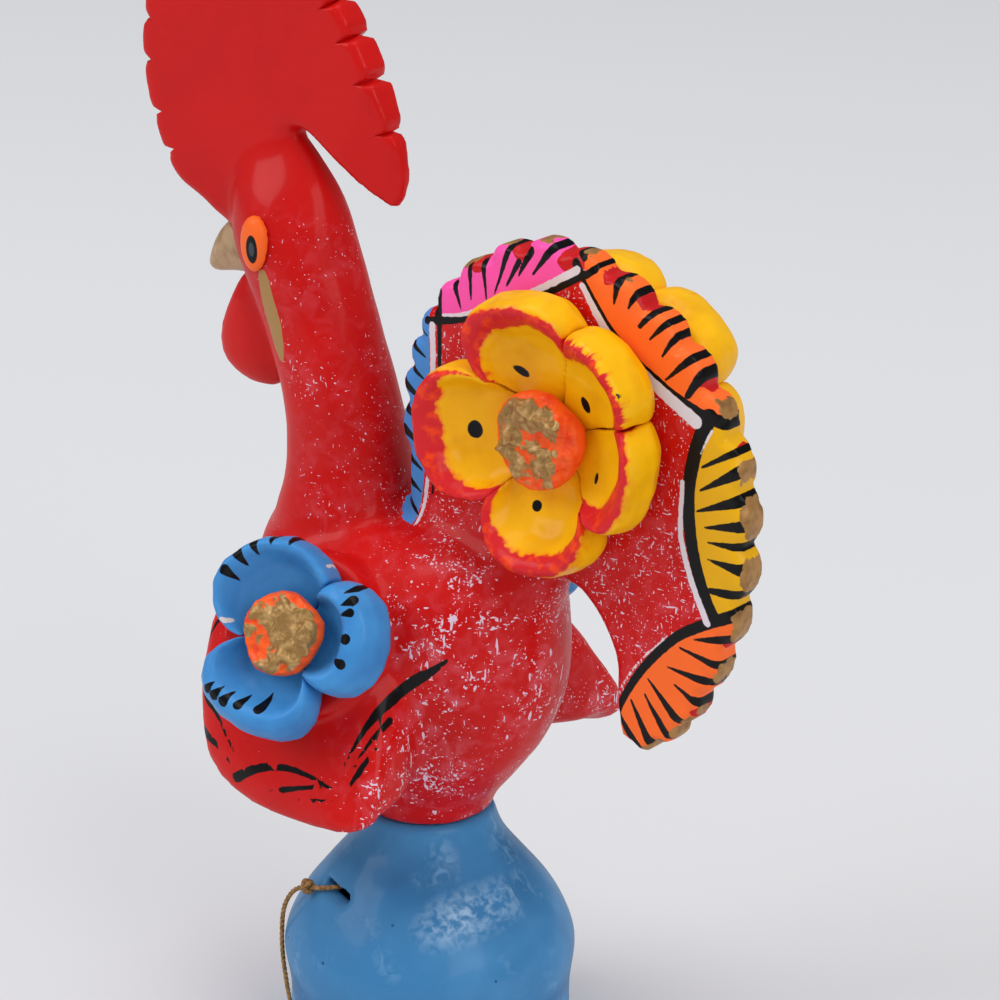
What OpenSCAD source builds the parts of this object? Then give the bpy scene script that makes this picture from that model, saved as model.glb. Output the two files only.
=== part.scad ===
// Painted clay rooster on a bell-shaped stand, modelled in millimetres.
// The rooster faces -Y, its left side is +X, and up is +Z.
// The origin is the centre of the stand's foot, on the resting plane.

/* [Stand] */
// Height of the stand, from its foot to the seat of the body
stand_h = 51; // [44:1:58]
// Radius of the foot
foot_r = 27.5; // [24:0.5:31]
// Radius of the rounded shoulder
shoulder_r = 28.5; // [26:0.5:32]
// Height of the widest part of the shoulder
shoulder_z = 23; // [20:1:27]
// Depth of the groove under the shoulder
groove_d = 0.9; // [0.3:0.1:1.5]
// Radius of the top of the stand, where the body sits
seat_r = 12.5; // [11:0.5:14]
// Thickness of the stand's clay wall
stand_wall = 4; // [3:0.5:5]
// Width of the slot that the twine passes through
slot_w = 10; // [8:0.5:12]
// Height of the slot that the twine passes through
slot_h = 2; // [1.6:0.1:2.6]
// Height of the slot's middle line
slot_z = 36.5; // [35:0.5:38]

/* [Body] */
// Height of the body above the stand
body_h = 58; // [52:1:64]
// Length of the body from breast to rump
body_len = 66; // [58:1:74]
// Width of the body without its wings
body_w = 48; // [42:1:54]

/* [Neck and head] */
// Height of the neck and head above the top of the body
neck_h = 72; // [66:1:78]
// Front-to-back thickness of the neck
neck_len = 25; // [21:0.5:27]
// Width of the neck from side to side
neck_w = 22; // [19:0.5:25]
// Distance by which the head leans forward of the neck's root
head_lean = 12; // [9:0.5:15]

/* [Comb] */
// Length of the comb, front to back
comb_len = 62; // [56:1:68]
// Height of the comb
comb_h = 57; // [51:1:63]
// Thickness of the comb
comb_t = 7; // [5:0.5:9]
// Depth of the notches carved across the comb's rim
comb_notch = 1.9; // [1:0.1:2.6]

/* [Beak, wattle and eyes] */
// Length of the beak along its droop
beak_len = 13; // [11:0.5:15]
// Width of the beak
beak_w = 7; // [6:0.5:8]
// Length of the wattle
wattle_len = 23; // [19:1:27]
// Thickness of the wattle
wattle_t = 6.5; // [5:0.5:8]
// Height of an eye
eye_h = 11; // [9:0.5:12]
// Width of an eye
eye_w = 7; // [6:0.5:8]
// Height by which an eye stands out
eye_out = 1.6; // [1:0.2:2.4]

/* [Wings] */
// Length of a wing
wing_len = 52; // [48:1:60]
// How much further back the right wing reaches
right_wing_reach = 5; // [0:0.5:7]
// Height of a wing
wing_h = 48; // [42:1:54]
// Distance of the wing's rim from the middle plane of the rooster
wing_out = 38; // [35:1:42]

/* [Tail] */
// Length of the tail fan, from the neck side to its rear edge
tail_len = 76; // [70:1:82]
// Height of the tail fan
tail_h = 92; // [86:1:98]
// Thickness of the tail fan
tail_t = 7; // [5:0.5:9]
// Depth of the scallops along the tail's rim
scallop_d = 1.8; // [1:0.2:2.6]
// Number of scallops along the tail's rim
scallop_n = 21; // [17:1:25]

/* [Tail flowers] */
// Distance from a tail flower's middle to the tips of its petals
tail_petal_r = 27; // [24:0.5:29]
// Height of the raised rims of a tail flower's petals
tail_petal_h = 12; // [9:0.5:15]
// Diameter of a tail flower's heart
tail_heart_d = 18; // [15:0.5:20]

/* [Wing flowers] */
// Distance from a wing flower's middle to the tips of its petals
wing_petal_r = 20; // [17:0.5:22]
// Height of the raised rims of a wing flower's petals
wing_petal_h = 10; // [8:0.5:12]
// Diameter of a wing flower's heart
wing_heart_d = 15.5; // [12:0.5:17]

/* [Twine] */
// Thickness of the twine
twine_d = 1; // [0.8:0.1:1.2]
// Thickness of the knot in the twine
knot_d = 3.6; // [3:0.2:4.2]

/* [Hidden] */

// Clearance between two pieces that were luted together
luting = 0.1;

// Curves and skins

// Smooth curve through p1 and p2, with p0 and p3 as their neighbours
function catmull(p0, p1, p2, p3, f) =
    0.5 * (2 * p1 + (p2 - p0) * f + (2 * p0 - 5 * p1 + 4 * p2 - p3) * f * f
    + (3 * p1 - p0 - 3 * p2 + p3) * f * f * f);
// Value of an open row of stations s at position k, from 0 to len(s) - 1
function along(s, k) =
    let (n = len(s) - 1, i = max(0, min(floor(k), n - 1)))
    catmull(s[max(i - 1, 0)], s[i], s[i + 1], s[min(i + 2, n)], k - i);
// Value of a closed ring of stations s at position k
function around(s, k) =
    let (n = len(s), i = floor(k))
    catmull(s[(i - 1 + n) % n], s[i % n], s[(i + 1) % n], s[(i + 2) % n], k - i);
// Open row s resampled to n + 1 values
function resampled(s, n) = [for (j = [0:n]) along(s, j * (len(s) - 1) / n)];
// Closed ring s resampled to n values a station
function rounded(s, n) = [for (j = [0:len(s) * n - 1]) around(s, j / n)];

// Closed skin over a row of rings, each a list of as many points
module skin(rings, flip = false) {
    m = len(rings);
    n = len(rings[0]);
    polyhedron(
        points = [for (r = rings) each flip ? [for (i = [n - 1:-1:0]) r[i]] : r],
        faces = concat(
            [[for (i = [n - 1:-1:0]) i]],
            [[for (i = [0:n - 1]) (m - 1) * n + i]],
            [for (j = [0:m - 2]) for (i = [0:n - 1])
                let (a = j * n + i, b = j * n + (i + 1) % n)
                each [[a, b + n, a + n], [a, b, b + n]]]));
}
// Joins and carves its children as one closed skin
module one_skin() { resize([0, 0, 0]) children(); }
// Level oval ring: height z, middle y, half-length a and half-width b
function oval(z, y, a, b, n) =
    [for (i = [0:n - 1]) let (q = -360 * i / n) [b * sin(q), y - a * cos(q), z]];

// Stand

// Outline of the bell, as [radius, height] from the foot to the seat
bell = [
    [foot_r, 0], [foot_r, 7], [shoulder_r - groove_d, shoulder_z - 9],
    [shoulder_r, shoulder_z],
    [shoulder_r - 3.2, shoulder_z + 8],
    [seat_r + 7.6, shoulder_z + 15],
    [seat_r + 2.2, stand_h - 6],
    [seat_r, stand_h]];
bell_side = resampled(bell, 28);

// Direction of the slot, turned forward from the left side
slot_turn = -23;
module stand() {
    color("#4a8cc4") difference() {
        rotate_extrude($fn = 96) polygon(concat([[0, 0]], bell_side, [[0, stand_h]]));
        rotate_extrude($fn = 96)
            polygon(concat([[0, -1], [foot_r - stand_wall, -1]],
                [for (p = bell_side) if (p[1] > 0 && p[1] < stand_h - 2 * stand_wall)
                    [max(p[0] - stand_wall, 3), p[1]]],
                [[3, stand_h - 2 * stand_wall], [0, stand_h - 2 * stand_wall]]));
        slot();
    }
}
// Slot through the shoulder on the rooster's left side, with round ends
module slot() {
    rotate([0, 0, slot_turn]) for (s = [-1, 1])
        translate([0, s * (slot_w - slot_h) / 2, slot_z])
            rotate([0, 90, 0]) cylinder(h = shoulder_r + 2, d = slot_h, $fn = 24);
    rotate([0, 0, slot_turn]) translate([0, -(slot_w - slot_h) / 2, slot_z - slot_h / 2])
        cube([shoulder_r + 2, slot_w - slot_h, slot_h]);
}

// Body

body_top = stand_h + body_h;
// Stations of the body: share of height, middle, share of length, share of width
body_shape = [
    [0, 0, 0, 0], [0.05, -0.4, 0.05, 0.07], [0.12, -0.5, 0.2, 0.24],
    [0.25, 0, 0.5, 0.58], [0.4, -1, 0.77, 0.84], [0.55, -2, 0.93, 0.98],
    [0.69, -3.5, 1, 1], [0.8, -4, 1, 0.9], [0.9, -4, 0.96, 0.7],
    [0.97, -3.5, 0.86, 0.45], [1, -3, 0.7, 0.24]];
module body_solid(grow = 0) {
    skin([for (s = resampled(body_shape, 16))
        oval(stand_h + body_h * s[0], s[1],
            seat_r + (body_len / 2 - seat_r) * s[2] + grow,
            seat_r + (body_w / 2 - seat_r) * s[3] + grow
                - (s[0] > 0.85 ? (s[0] - 0.85) * 40 : 0), 32)]);
}
module body() { color("#c8201c") body_solid(); }

// Neck and head

neck_y = -18;
head_top = body_top + neck_h;
// Stations of the neck: share of height, share of lean, and shares of its
// length and width
neck_shape = [
    [-0.16, -0.1, 1.5, 1.5], [-0.02, 0, 1.2, 1.28], [0.1, 0.02, 1.02, 1.06],
    [0.25, 0.13, 0.95, 0.96], [0.42, 0.44, 0.94, 0.94], [0.56, 0.8, 0.98, 0.94],
    [0.68, 1.08, 1.02, 0.93], [0.77, 1.2, 0.98, 0.84], [0.83, 1.25, 0.91, 0.68],
    [0.88, 1.3, 0.8, 0.48], [0.92, 1.33, 0.68, 0.35], [0.97, 1.38, 0.48, 0.29],
    [1, 1.4, 0.24, 0.2]];
function neck_at(h) = // station at the share of height h
    let (i = search_up(neck_shape, h, 0), p = neck_shape[i], q = neck_shape[i + 1])
    p + (q - p) * (h - p[0]) / (q[0] - p[0]);
function search_up(s, h, i) = s[i + 1][0] >= h ? i : search_up(s, h, i + 1);
function neck_ring(s, grow) =
    oval(body_top + neck_h * s[0], neck_y - head_lean * s[1],
        neck_len / 2 * s[2] + grow, neck_w / 2 * s[3] + grow, 26);
module neck_solid(grow = 0) {
    skin([for (s = resampled(neck_shape, 22)) neck_ring(s, grow)]);
}
module neck_and_head() {
    color("#c8201c") one_skin() difference() {
        neck_solid();
        body_solid(luting);
    }
}

// Comb

// Outline of the comb, as shares of its length and height from its front root
comb_shape = [
    [0, 0], [-0.1, 0.07], [-0.2, 0.13], [-0.27, 0.26], [-0.32, 0.45],
    [-0.32, 0.66], [-0.25, 0.86], [-0.04, 0.99], [0.21, 0.98], [0.4, 0.86],
    [0.53, 0.67], [0.62, 0.46], [0.675, 0.27], [0.645, 0.15], [0.55, 0.19],
    [0.42, 0.29], [0.32, 0.36], [0.245, 0.335], [0.205, 0.2], [0.14, 0.03], [0.08, -0.04]];
comb_y = -46;
comb_z = body_top + 0.71 * neck_h;
function comb_edge(k) = let (p = around(comb_shape, k)) [p[0] * comb_len, p[1] * comb_h];
comb_rim = [for (j = [0:3 * len(comb_shape) - 1]) comb_edge(j / 3)];
module comb_plate(inset, t) {
    translate([-t / 2, comb_y, comb_z]) rotate([90, 0, 90])
        linear_extrude(t) offset(delta = -inset) polygon(comb_rim);
}
// Carved notches: V cuts straight across the rim
module comb_notches() {
    for (k = [2.6, 3.4, 4.3, 5, 5.7, 6.4, 7, 7.6, 8.2, 8.75, 9.3, 9.85, 10.5, 11.3])
        let (p = comb_edge(k), d = comb_edge(k + 0.1) - comb_edge(k - 0.1))
        translate([0, comb_y + p[0], comb_z + p[1]]) rotate([atan2(d[1], d[0]), 0, 0])
            rotate([90, 0, 90]) linear_extrude(2 * comb_t, center = true)
                polygon([[0, -comb_notch], [5.5, 6], [-6.5, 6]]);
}
// Flat cuts on both faces that thin the rear lobe of the comb towards its tip
module comb_tapers() {
    for (side = [-1, 1])
        translate([side * comb_t * 0.55, comb_y + 0.43 * comb_len, comb_z + 0.32 * comb_h])
            rotate([-31, 0, 0]) rotate([0, 0, side * 10])
                translate([side > 0 ? 0 : -20, 0, -30]) cube([20, 40, 60]);
}
module comb() {
    color("#c01414") one_skin() difference() {
        union() {
            comb_plate(0, comb_t * 0.75);
            comb_plate(0.7, comb_t);
        }
        comb_notches();
        comb_tapers();
        neck_solid(luting);
    }
}

// Beak, wattle and eyes

beak_z = body_top + 0.655 * neck_h;
head_y = neck_y - head_lean * 1.1;
head_front = head_y - neck_len / 2 * 1.03;
// Stations of the beak: share of length, droop, half height, share of half width
beak_shape = [[-0.5, -0.2, 5.6, 1], [0, -0.2, 5.8, 1], [0.3, -0.9, 5.3, 0.94],
    [0.62, -2.5, 4.2, 0.8], [0.86, -4.4, 2.4, 0.5], [1, -5.4, 0.7, 0.18]];
// Upright oval ring: position y, middle z, half-width b and half-height c
function upright(y, z, b, c, n) =
    [for (i = [0:n - 1]) let (q = 360 * i / n) [b * sin(q), y, z + c * cos(q)]];
module beak_solid(grow = 0) {
    skin([for (s = resampled(beak_shape, 9))
        upright(head_front - beak_len * 0.66 * s[0], beak_z + s[1] * beak_len / 13,
            beak_w / 2 * s[3] + grow, s[2] * beak_len / 13 + grow, 18)]);
}
module beak() {
    color("#b08458") one_skin() difference() {
        beak_solid();
        neck_solid(luting);
        comb_plate(-luting, comb_t + 2 * luting);
    }
}

wattle_top = beak_z - 4.5;
// Stations of the wattle: share of length, middle, half length, share of thickness
wattle_shape = [[0, 0.6, 4.4, 0.45], [0.14, 0, 5.6, 0.66], [0.36, -1.2, 7.2, 0.88],
    [0.6, -1.8, 8.6, 1], [0.8, -1.4, 8.6, 0.94], [0.93, -0.6, 6.4, 0.66],
    [1, 0, 3, 0.26]];
module wattle() {
    color("#c01414") one_skin() difference() {
        skin([for (s = resampled(wattle_shape, 11))
            oval(wattle_top - wattle_len * s[0], head_front + 4.4 + s[1], s[2],
                wattle_t / 2 * s[3], 18)], true);
        neck_solid(luting);
        beak_solid(luting);
    }
}

eye_share = 0.7;
eye_y = head_y - 1.5;
module eye(side) {
    s = neck_at(eye_share);
    x = neck_w / 2 * s[3];
    n = 18;
    color("#f0702c") one_skin() difference() {
        translate([side * x, eye_y, body_top + neck_h * eye_share])
            rotate([0, 0, -side * 8]) mirror([side < 0 ? 1 : 0, 0, 0])
                skin([for (r = [[-2.5, 1], [0.2, 1], [0.55 * eye_out, 0.9],
                    [0.88 * eye_out, 0.66], [eye_out, 0.32]])
                    [for (i = [0:n - 1]) let (q = 360 * i / n)
                        [r[0], eye_w / 2 * r[1] * cos(q), eye_h / 2 * r[1] * sin(q)]]], true);
        neck_solid(luting);
    }
}
module eye_left() { eye(1); }
module eye_right() { eye(-1); }

// Wings

wing_z = body_top - 1 - wing_h;
wing_y = -37;
// Stations of a wing: share of length, shares of height of its top and rim,
// share of its spread
wing_shape = [
    [0, 0.6, 0.44, 0.6], [0.03, 0.72, 0.3, 0.68], [0.1, 0.84, 0.16, 0.78],
    [0.22, 0.95, 0.06, 0.87], [0.36, 1, 0.01, 0.92], [0.52, 1, 0, 0.95],
    [0.68, 0.94, 0, 0.98], [0.83, 0.74, 0.01, 1], [0.94, 0.46, 0.03, 1],
    [1, 0.2, 0.08, 0.98]];
// Cross-section of the wing at a station: over the outer face and back below
function wing_ring(s, reach) =
    let (t = s[1], b = s[2], h = wing_h * (t - b), z = wing_z + wing_h * b, w = wing_out * s[3],
        i = w - min(24, h * 0.62))
    [for (p = rounded([
        [i - 6, z + h * 0.9], [i, z + h * 0.97], [i + (w - i) * 0.46, z + h * 0.74],
        [i + (w - i) * 0.72, z + h * 0.46], [w - 1.2, z + h * 0.14], [w, z],
        [w - 3, z - 0.6], [i + (w - i) * 0.4, z + h * 0.06], [i - 6, z + h * 0.2]], 2))
        [p[0], wing_y + (wing_len + reach) * s[0], p[1]]];
module wing_solid(reach) {
    skin([for (s = resampled(wing_shape, 14)) wing_ring(s, reach)], true);
}
module wing(side) {
    color("#c8201c") one_skin() difference() {
        mirror([side < 0 ? 1 : 0, 0, 0]) union() {
            wing_solid(side < 0 ? right_wing_reach : 0);
            on_wing() translate([0, 0, -7])
                cylinder(h = 7, r1 = 0.82 * wing_petal_r, r2 = 0.78 * wing_petal_r, $fn = 32);
        }
        body_solid(luting);
        neck_solid(luting);
        on_side(side) translate([0, 0, -luting / 2])
            cylinder(h = 20, r = wing_petal_r + 1, $fn = 40);
    }
}
module wing_left() { wing(1); }
module wing_right() { wing(-1); }

// Tail fan

tail_y = -3;
tail_z = body_top - 33;
// Rim of the tail, as shares of its length and height, from the neck side round
// to the lower point of the fan
tail_rim = [
    [0.005, 0.52], [0.005, 0.63], [0.025, 0.71], [0.06, 0.785], [0.12, 0.86],
    [0.205, 0.925], [0.315, 0.975], [0.445, 0.995], [0.58, 0.97], [0.71, 0.915],
    [0.815, 0.845], [0.895, 0.76], [0.96, 0.66], [0.993, 0.545], [0.993, 0.415],
    [0.967, 0.295], [0.908, 0.175], [0.842, 0.085], [0.77, 0.025], [0.7, 0]];
// Inner edge of the tail, from the lower point back to the body
tail_inner = [
    [0.66, 0.02], [0.645, 0.1], [0.645, 0.17], [0.615, 0.23], [0.565, 0.285],
    [0.49, 0.32], [0.36, 0.3], [0.2, 0.27], [0.06, 0.3], [0.012, 0.42]];
function tail_point(p) = [tail_y + p[0] * tail_len, tail_z + p[1] * tail_h];
tail_steps = scallop_n * 5;
tail_edge = concat(
    [for (j = [0:tail_steps])
        let (k = j * (len(tail_rim) - 1) / tail_steps,
            p = tail_point(along(tail_rim, k)),
            d = tail_point(along(tail_rim, k + 0.02)) - tail_point(along(tail_rim, k - 0.02)),
            f = abs(sin(180 * scallop_n * j / tail_steps)))
        p + [-d[1], d[0]] / norm(d) * scallop_d * (pow(f, 0.7) - 0.55)],
    [for (p = resampled(tail_inner, 16)) tail_point(p)]);
module tail_plate(inset, t) {
    translate([-t / 2, 0, 0]) rotate([90, 0, 90])
        linear_extrude(t) offset(delta = -inset) polygon(tail_edge);
}
// Stations of the tail's thick root: height from the body's top, middle,
// half length and half width
root_shape = [[-22, 12, 14, 8], [-14, 12.5, 16.5, 12], [-8, 13.5, 18, 11.4],
    [-4, 14, 19, 9.4], [0, 15, 19.4, 7.2], [4, 16.5, 20, 5.2], [9, 18.5, 20.5, 3.2]];
module tail_fan() {
    color("#c8201c") one_skin() difference() {
        union() {
            tail_plate(0, tail_t * 0.7);
            tail_plate(0.8, tail_t);
            skin([for (s = resampled(root_shape, 9))
                oval(body_top + s[0], s[1], s[2], s[3] * tail_t / 7, 24)]);
        }
        body_solid(luting);
        neck_solid(luting);
        for (side = [-1, 1]) on_tail(side) translate([0, 0, -luting / 2])
            cylinder(h = 12, r1 = 0.86 * tail_petal_r, r2 = 1.04 * tail_petal_r, $fn = 40);
    }
}

// Flowers
// Each flower is modelled flat, with its middle at the origin and its axis along
// +Z, and then set on the tail or on a wing.

flower_y = 34;
flower_z = tail_z + 0.63 * tail_h;
// The right flower was pressed on a little further back and higher than the left one
right_shift = [4.5, 4];
module on_tail(side) {
    shift = side < 0 ? right_shift : [0, 0];
    translate([side * tail_t / 2, flower_y + shift[0], flower_z + shift[1]])
        rotate([90, 0, 90]) mirror([0, 0, side < 0 ? 1 : 0]) children();
}
module on_wing() {
    translate([wing_out * 0.79, -6.5, wing_z + wing_h * 0.7])
        rotate([0, 0, 14]) rotate([0, 90 - 21, 0]) rotate([0, 0, 90]) children();
}
module on_side(side) { mirror([side < 0 ? 1 : 0, 0, 0]) on_wing() children(); }

// Side view of a petal along its middle line, from its foot at the flower's middle
// to its tip, as shares of its length and height: flat below, bulging outside, with
// its ridge at g and a hollow inside
function petal_side(g) = [
    [0, 0], [0.8, 0], [0.94, 0.12], [1, 0.36], [0.85 + 0.15 * g, 0.68],
    [0.5 + 0.5 * g, 0.92], [g, 1], [0.92 * g, 0.93], [0.83 * g, 0.74], [0.72 * g, 0.54],
    [0.55 * g, 0.4], [0.3 * g, 0.31], [0, 0.27]];
// Distance of a petal's edge from the flower's middle, at s from -1 to 1 across it
function petal_reach(tip, start, end, bend, s) =
    tip - (tip - (s < 0 ? start : end)) * pow(abs(s), bend);
// One petal: a slice of the flower between two seams. A seam is [direction, share of
// the flower's radius], and a form is [share of radius, ridge, bend of the outline].
module petal(r, h, seam_a, seam_b, form) {
    n = 14;
    foot = 0.2 * r;
    middle = (seam_a[0] + seam_b[0]) / 2;
    half = (seam_b[0] - seam_a[0]) / 2 - 0.5;
    skin([for (j = [0:n]) let (s = sin(90 * (2 * j / n - 1)), q = middle + half * s, c = pow(s, 4),
        out = petal_reach(form[0] * r, seam_a[1] * r, seam_b[1] * r, form[2], s))
        [for (p = petal_side(form[1])) let (a = foot + (out - foot) * p[0],
            lift = p[0] > 0.4 && p[0] < 0.9 * form[1] && p[1] > 0 ? 0.1 * c : 0)
            [a * cos(q), a * sin(q), h * (p[1] * (1 - 0.2 * c) + lift)]]]);
}
// Knob in the middle of a flower, with a crumpled top
module heart(d, foot, seat) {
    n = 18;
    r = d / 2;
    skin([for (p = [[0, foot], [seat, foot], [seat, 0.78 * r], [seat + 0.12 * r, 0.93 * r],
        [seat + 0.3 * r, r], [seat + 0.48 * r, 0.97 * r], [seat + 0.6 * r, 0.86 * r],
        [seat + 0.66 * r, 0.66 * r], [seat + 0.6 * r, 0.34 * r]])
        [for (i = [0:n - 1]) let (q = 360 * i / n,
            w = p[0] > seat + 0.1 ? 1 + 0.04 * sin(3 * q + 40) + 0.03 * sin(5 * q) : 1,
            u = p[0] > seat + 0.5 * r ? 0.05 * r * sin(3 * q) * sin(2 * q + 50) : 0)
            [p[1] * w * cos(q), p[1] * w * sin(q), p[0] + u]]], true);
}
// Seams between the petals and forms of the petals, as they were set by hand
tail_seams = [[17, 0.8], [72, 0.84], [140, 0.62], [230, 0.62], [310, 0.66], [377, 0.8]];
tail_forms = [[0.93, 0.9, 3.5], [1, 0.9, 3.5], [1, 0.9, 3], [0.94, 0.9, 3.5], [0.87, 0.9, 4]];
wing_seams = [[54, 0.68], [192, 0.46], [306, 0.55], [414, 0.68]];
wing_forms = [[0.92, 0.88, 2.3], [1, 0.76, 5], [1, 0.62, 2.6]];
module tail_petal(side, k) {
    color("#f0b010") one_skin() on_tail(side)
        petal(tail_petal_r, tail_petal_h, tail_seams[k - 1], tail_seams[k], tail_forms[k - 1]);
}
module tail_heart(side) {
    color("#e08030") one_skin() on_tail(side)
        heart(tail_heart_d, 0.18 * tail_petal_r, 0.32 * tail_petal_h);
}
module wing_petal(side, k) {
    color("#4a94d8") one_skin() on_side(side)
        petal(wing_petal_r, wing_petal_h, wing_seams[k - 1], wing_seams[k], wing_forms[k - 1]);
}
module wing_heart(side) {
    color("#e08030") one_skin() on_side(side)
        heart(wing_heart_d, 0.18 * wing_petal_r, 0.44 * wing_petal_h);
}

// Twine

// Route of the twine: from inside the bell through the slot, then down over the
// shoulder to its end on the ground
twine_route = [
    [11, -3.5, 36.5], [15, -7, 36.5], [19.2, -11.2, 36.4], [19, -15.4, 35.4],
    [18.8, -19, 33.4], [18.8, -21.4, 29.5], [18.8, -22.2, 24.5], [20, -21, 18.5],
    [24.4, -15.6, 12.6], [26.6, -11.6, 7], [28.4, -9.4, 2.8], [31, -8.6, 0.9],
    [35.5, -9, 0.6], [40, -11, 0.6], [43, -14.5, 0.6]];
function unit(v) = v / norm(v);
function heading(p, i) = unit(p[min(i + 1, len(p) - 1)] - p[max(i - 1, 0)]);
// Side directions carried along the row of points p without twisting
function sides(p, i, u) = i == len(p) ? [] :
    let (t = heading(p, i), v = unit(u - (u * t) * t)) concat([v], sides(p, i + 1, v));
module tube(p, d, n) {
    s = sides(p, 0, [0, 0, 1]);
    skin([for (i = [0:len(p) - 1]) let (t = heading(p, i), v = s[i], w = cross(t, v))
        [for (j = [0:n - 1]) let (q = 360 * j / n) p[i] + d / 2 * (cos(q) * v + sin(q) * w)]], true);
}
module twine() {
    color("#b89468") tube(resampled(twine_route, 32), twine_d, 8);
}
// Knot outside the slot, drawn tight round the twine
module twine_knot() {
    n = 12;
    r = knot_d / 2;
    color("#b89468") one_skin() difference() {
        translate([19.5, -14.9, 35.8]) rotate([0, 0, -6]) rotate([104, 0, 0])
            skin([for (k = [0:6]) let (f = -1 + k / 3)
                [for (i = [0:n - 1]) let (q = 360 * i / n,
                    w = r * pow(max(1 - f * f, 0.12), 0.4) * (1 + 0.14 * cos(2 * q + 90 * f)))
                    [w * cos(q), w * sin(q), 1.15 * r * f]]], true);
        tube(resampled(twine_route, 32), twine_d + 2 * luting, 8);
    }
}

// Mirrored and repeated pieces

module tail_flower_left_petal_1() { tail_petal(1, 1); }
module tail_flower_left_petal_2() { tail_petal(1, 2); }
module tail_flower_left_petal_3() { tail_petal(1, 3); }
module tail_flower_left_petal_4() { tail_petal(1, 4); }
module tail_flower_left_petal_5() { tail_petal(1, 5); }
module tail_flower_left_heart() { tail_heart(1); }
module tail_flower_right_petal_1() { tail_petal(-1, 1); }
module tail_flower_right_petal_2() { tail_petal(-1, 2); }
module tail_flower_right_petal_3() { tail_petal(-1, 3); }
module tail_flower_right_petal_4() { tail_petal(-1, 4); }
module tail_flower_right_petal_5() { tail_petal(-1, 5); }
module tail_flower_right_heart() { tail_heart(-1); }
module wing_flower_left_petal_1() { wing_petal(1, 1); }
module wing_flower_left_petal_2() { wing_petal(1, 2); }
module wing_flower_left_petal_3() { wing_petal(1, 3); }
module wing_flower_left_heart() { wing_heart(1); }
module wing_flower_right_petal_1() { wing_petal(-1, 1); }
module wing_flower_right_petal_2() { wing_petal(-1, 2); }
module wing_flower_right_petal_3() { wing_petal(-1, 3); }
module wing_flower_right_heart() { wing_heart(-1); }

stand();
body();
neck_and_head();
comb();
beak();
wattle();
eye_left();
eye_right();
wing_left();
wing_right();
tail_fan();
tail_flower_left_petal_1();
tail_flower_left_petal_2();
tail_flower_left_petal_3();
tail_flower_left_petal_4();
tail_flower_left_petal_5();
tail_flower_left_heart();
tail_flower_right_petal_1();
tail_flower_right_petal_2();
tail_flower_right_petal_3();
tail_flower_right_petal_4();
tail_flower_right_petal_5();
tail_flower_right_heart();
wing_flower_left_petal_1();
wing_flower_left_petal_2();
wing_flower_left_petal_3();
wing_flower_left_heart();
wing_flower_right_petal_1();
wing_flower_right_petal_2();
wing_flower_right_petal_3();
wing_flower_right_heart();
twine();
twine_knot();
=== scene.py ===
# %% [markdown]
# # A painted clay rooster on a bell-shaped stand
# The real object is modelled by hand from soft clay, fired, painted with bright
# colours and varnished. Its forms come ready from the construction file. This
# lesson turns them into smooth clay, models the small hand-made details, and
# paints everything in coats, in the order in which a painter works.
# All lengths here are written in millimetres and turned into metres by mm().

# %% Load the forms
import math
import bpy
import numpy as np
from mathutils import Matrix, Vector
from mathutils.bvhtree import BVHTree


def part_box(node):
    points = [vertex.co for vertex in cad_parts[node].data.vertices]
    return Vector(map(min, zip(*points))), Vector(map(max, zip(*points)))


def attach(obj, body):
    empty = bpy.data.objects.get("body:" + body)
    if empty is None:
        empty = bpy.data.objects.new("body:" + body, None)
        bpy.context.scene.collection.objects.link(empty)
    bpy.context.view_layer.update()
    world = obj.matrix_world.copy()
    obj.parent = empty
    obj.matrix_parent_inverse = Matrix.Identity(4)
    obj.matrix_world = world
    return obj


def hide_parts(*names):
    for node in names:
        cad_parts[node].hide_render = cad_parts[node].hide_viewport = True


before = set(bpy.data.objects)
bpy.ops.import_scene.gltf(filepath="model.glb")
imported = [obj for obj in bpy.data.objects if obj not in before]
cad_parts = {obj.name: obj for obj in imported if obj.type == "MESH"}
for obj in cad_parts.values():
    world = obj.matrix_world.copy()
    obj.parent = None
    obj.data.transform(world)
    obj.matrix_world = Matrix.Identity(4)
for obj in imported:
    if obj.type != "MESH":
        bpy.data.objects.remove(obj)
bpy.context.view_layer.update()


def mm(value):
    return value / 1000.0


# %% [markdown]
# ## The camera
# The photograph was taken from behind the rooster's left side, a little above
# it, with a long lens. A long lens keeps the far flower almost as large as the
# near one. The camera's own axes are written out as a matrix, so nothing has to
# be aimed by hand.

# %% Place the camera
turn, tilt = math.radians(37.0), math.radians(19.0)
aim = Vector((0.0, mm(17.25), mm(116.36)))
to_camera = Vector((math.cos(turn) * math.cos(tilt), math.sin(turn) * math.cos(tilt), math.sin(tilt)))
to_right = Vector((-math.sin(turn), math.cos(turn), 0.0))
to_top = to_camera.cross(to_right)
camera_data = bpy.data.cameras.new("camera")
camera_data.lens = 120.6
camera_data.sensor_width = 36.0
camera_data.clip_start = 0.01
camera = bpy.data.objects.new("camera", camera_data)
bpy.context.scene.collection.objects.link(camera)
camera_distance = 620
camera.matrix_world = Matrix.Translation(aim + mm(camera_distance) * to_camera) @ Matrix(
    (to_right, to_top, to_camera)).transposed().to_4x4()
bpy.context.scene.camera = camera
print("camera at", [round(v, 3) for v in camera.location])

# %% [markdown]
# ## The twine
# A thin jute twine comes out of the slot in the stand, is knotted there, and
# falls down the side of the stand to the ground. A poly curve follows its route,
# with a three-lobed outline turned step by step along it, which gives the look
# of three twisted yarns. The curve is then made a mesh, so that its end caps and
# its yarns are real geometry.

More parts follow.
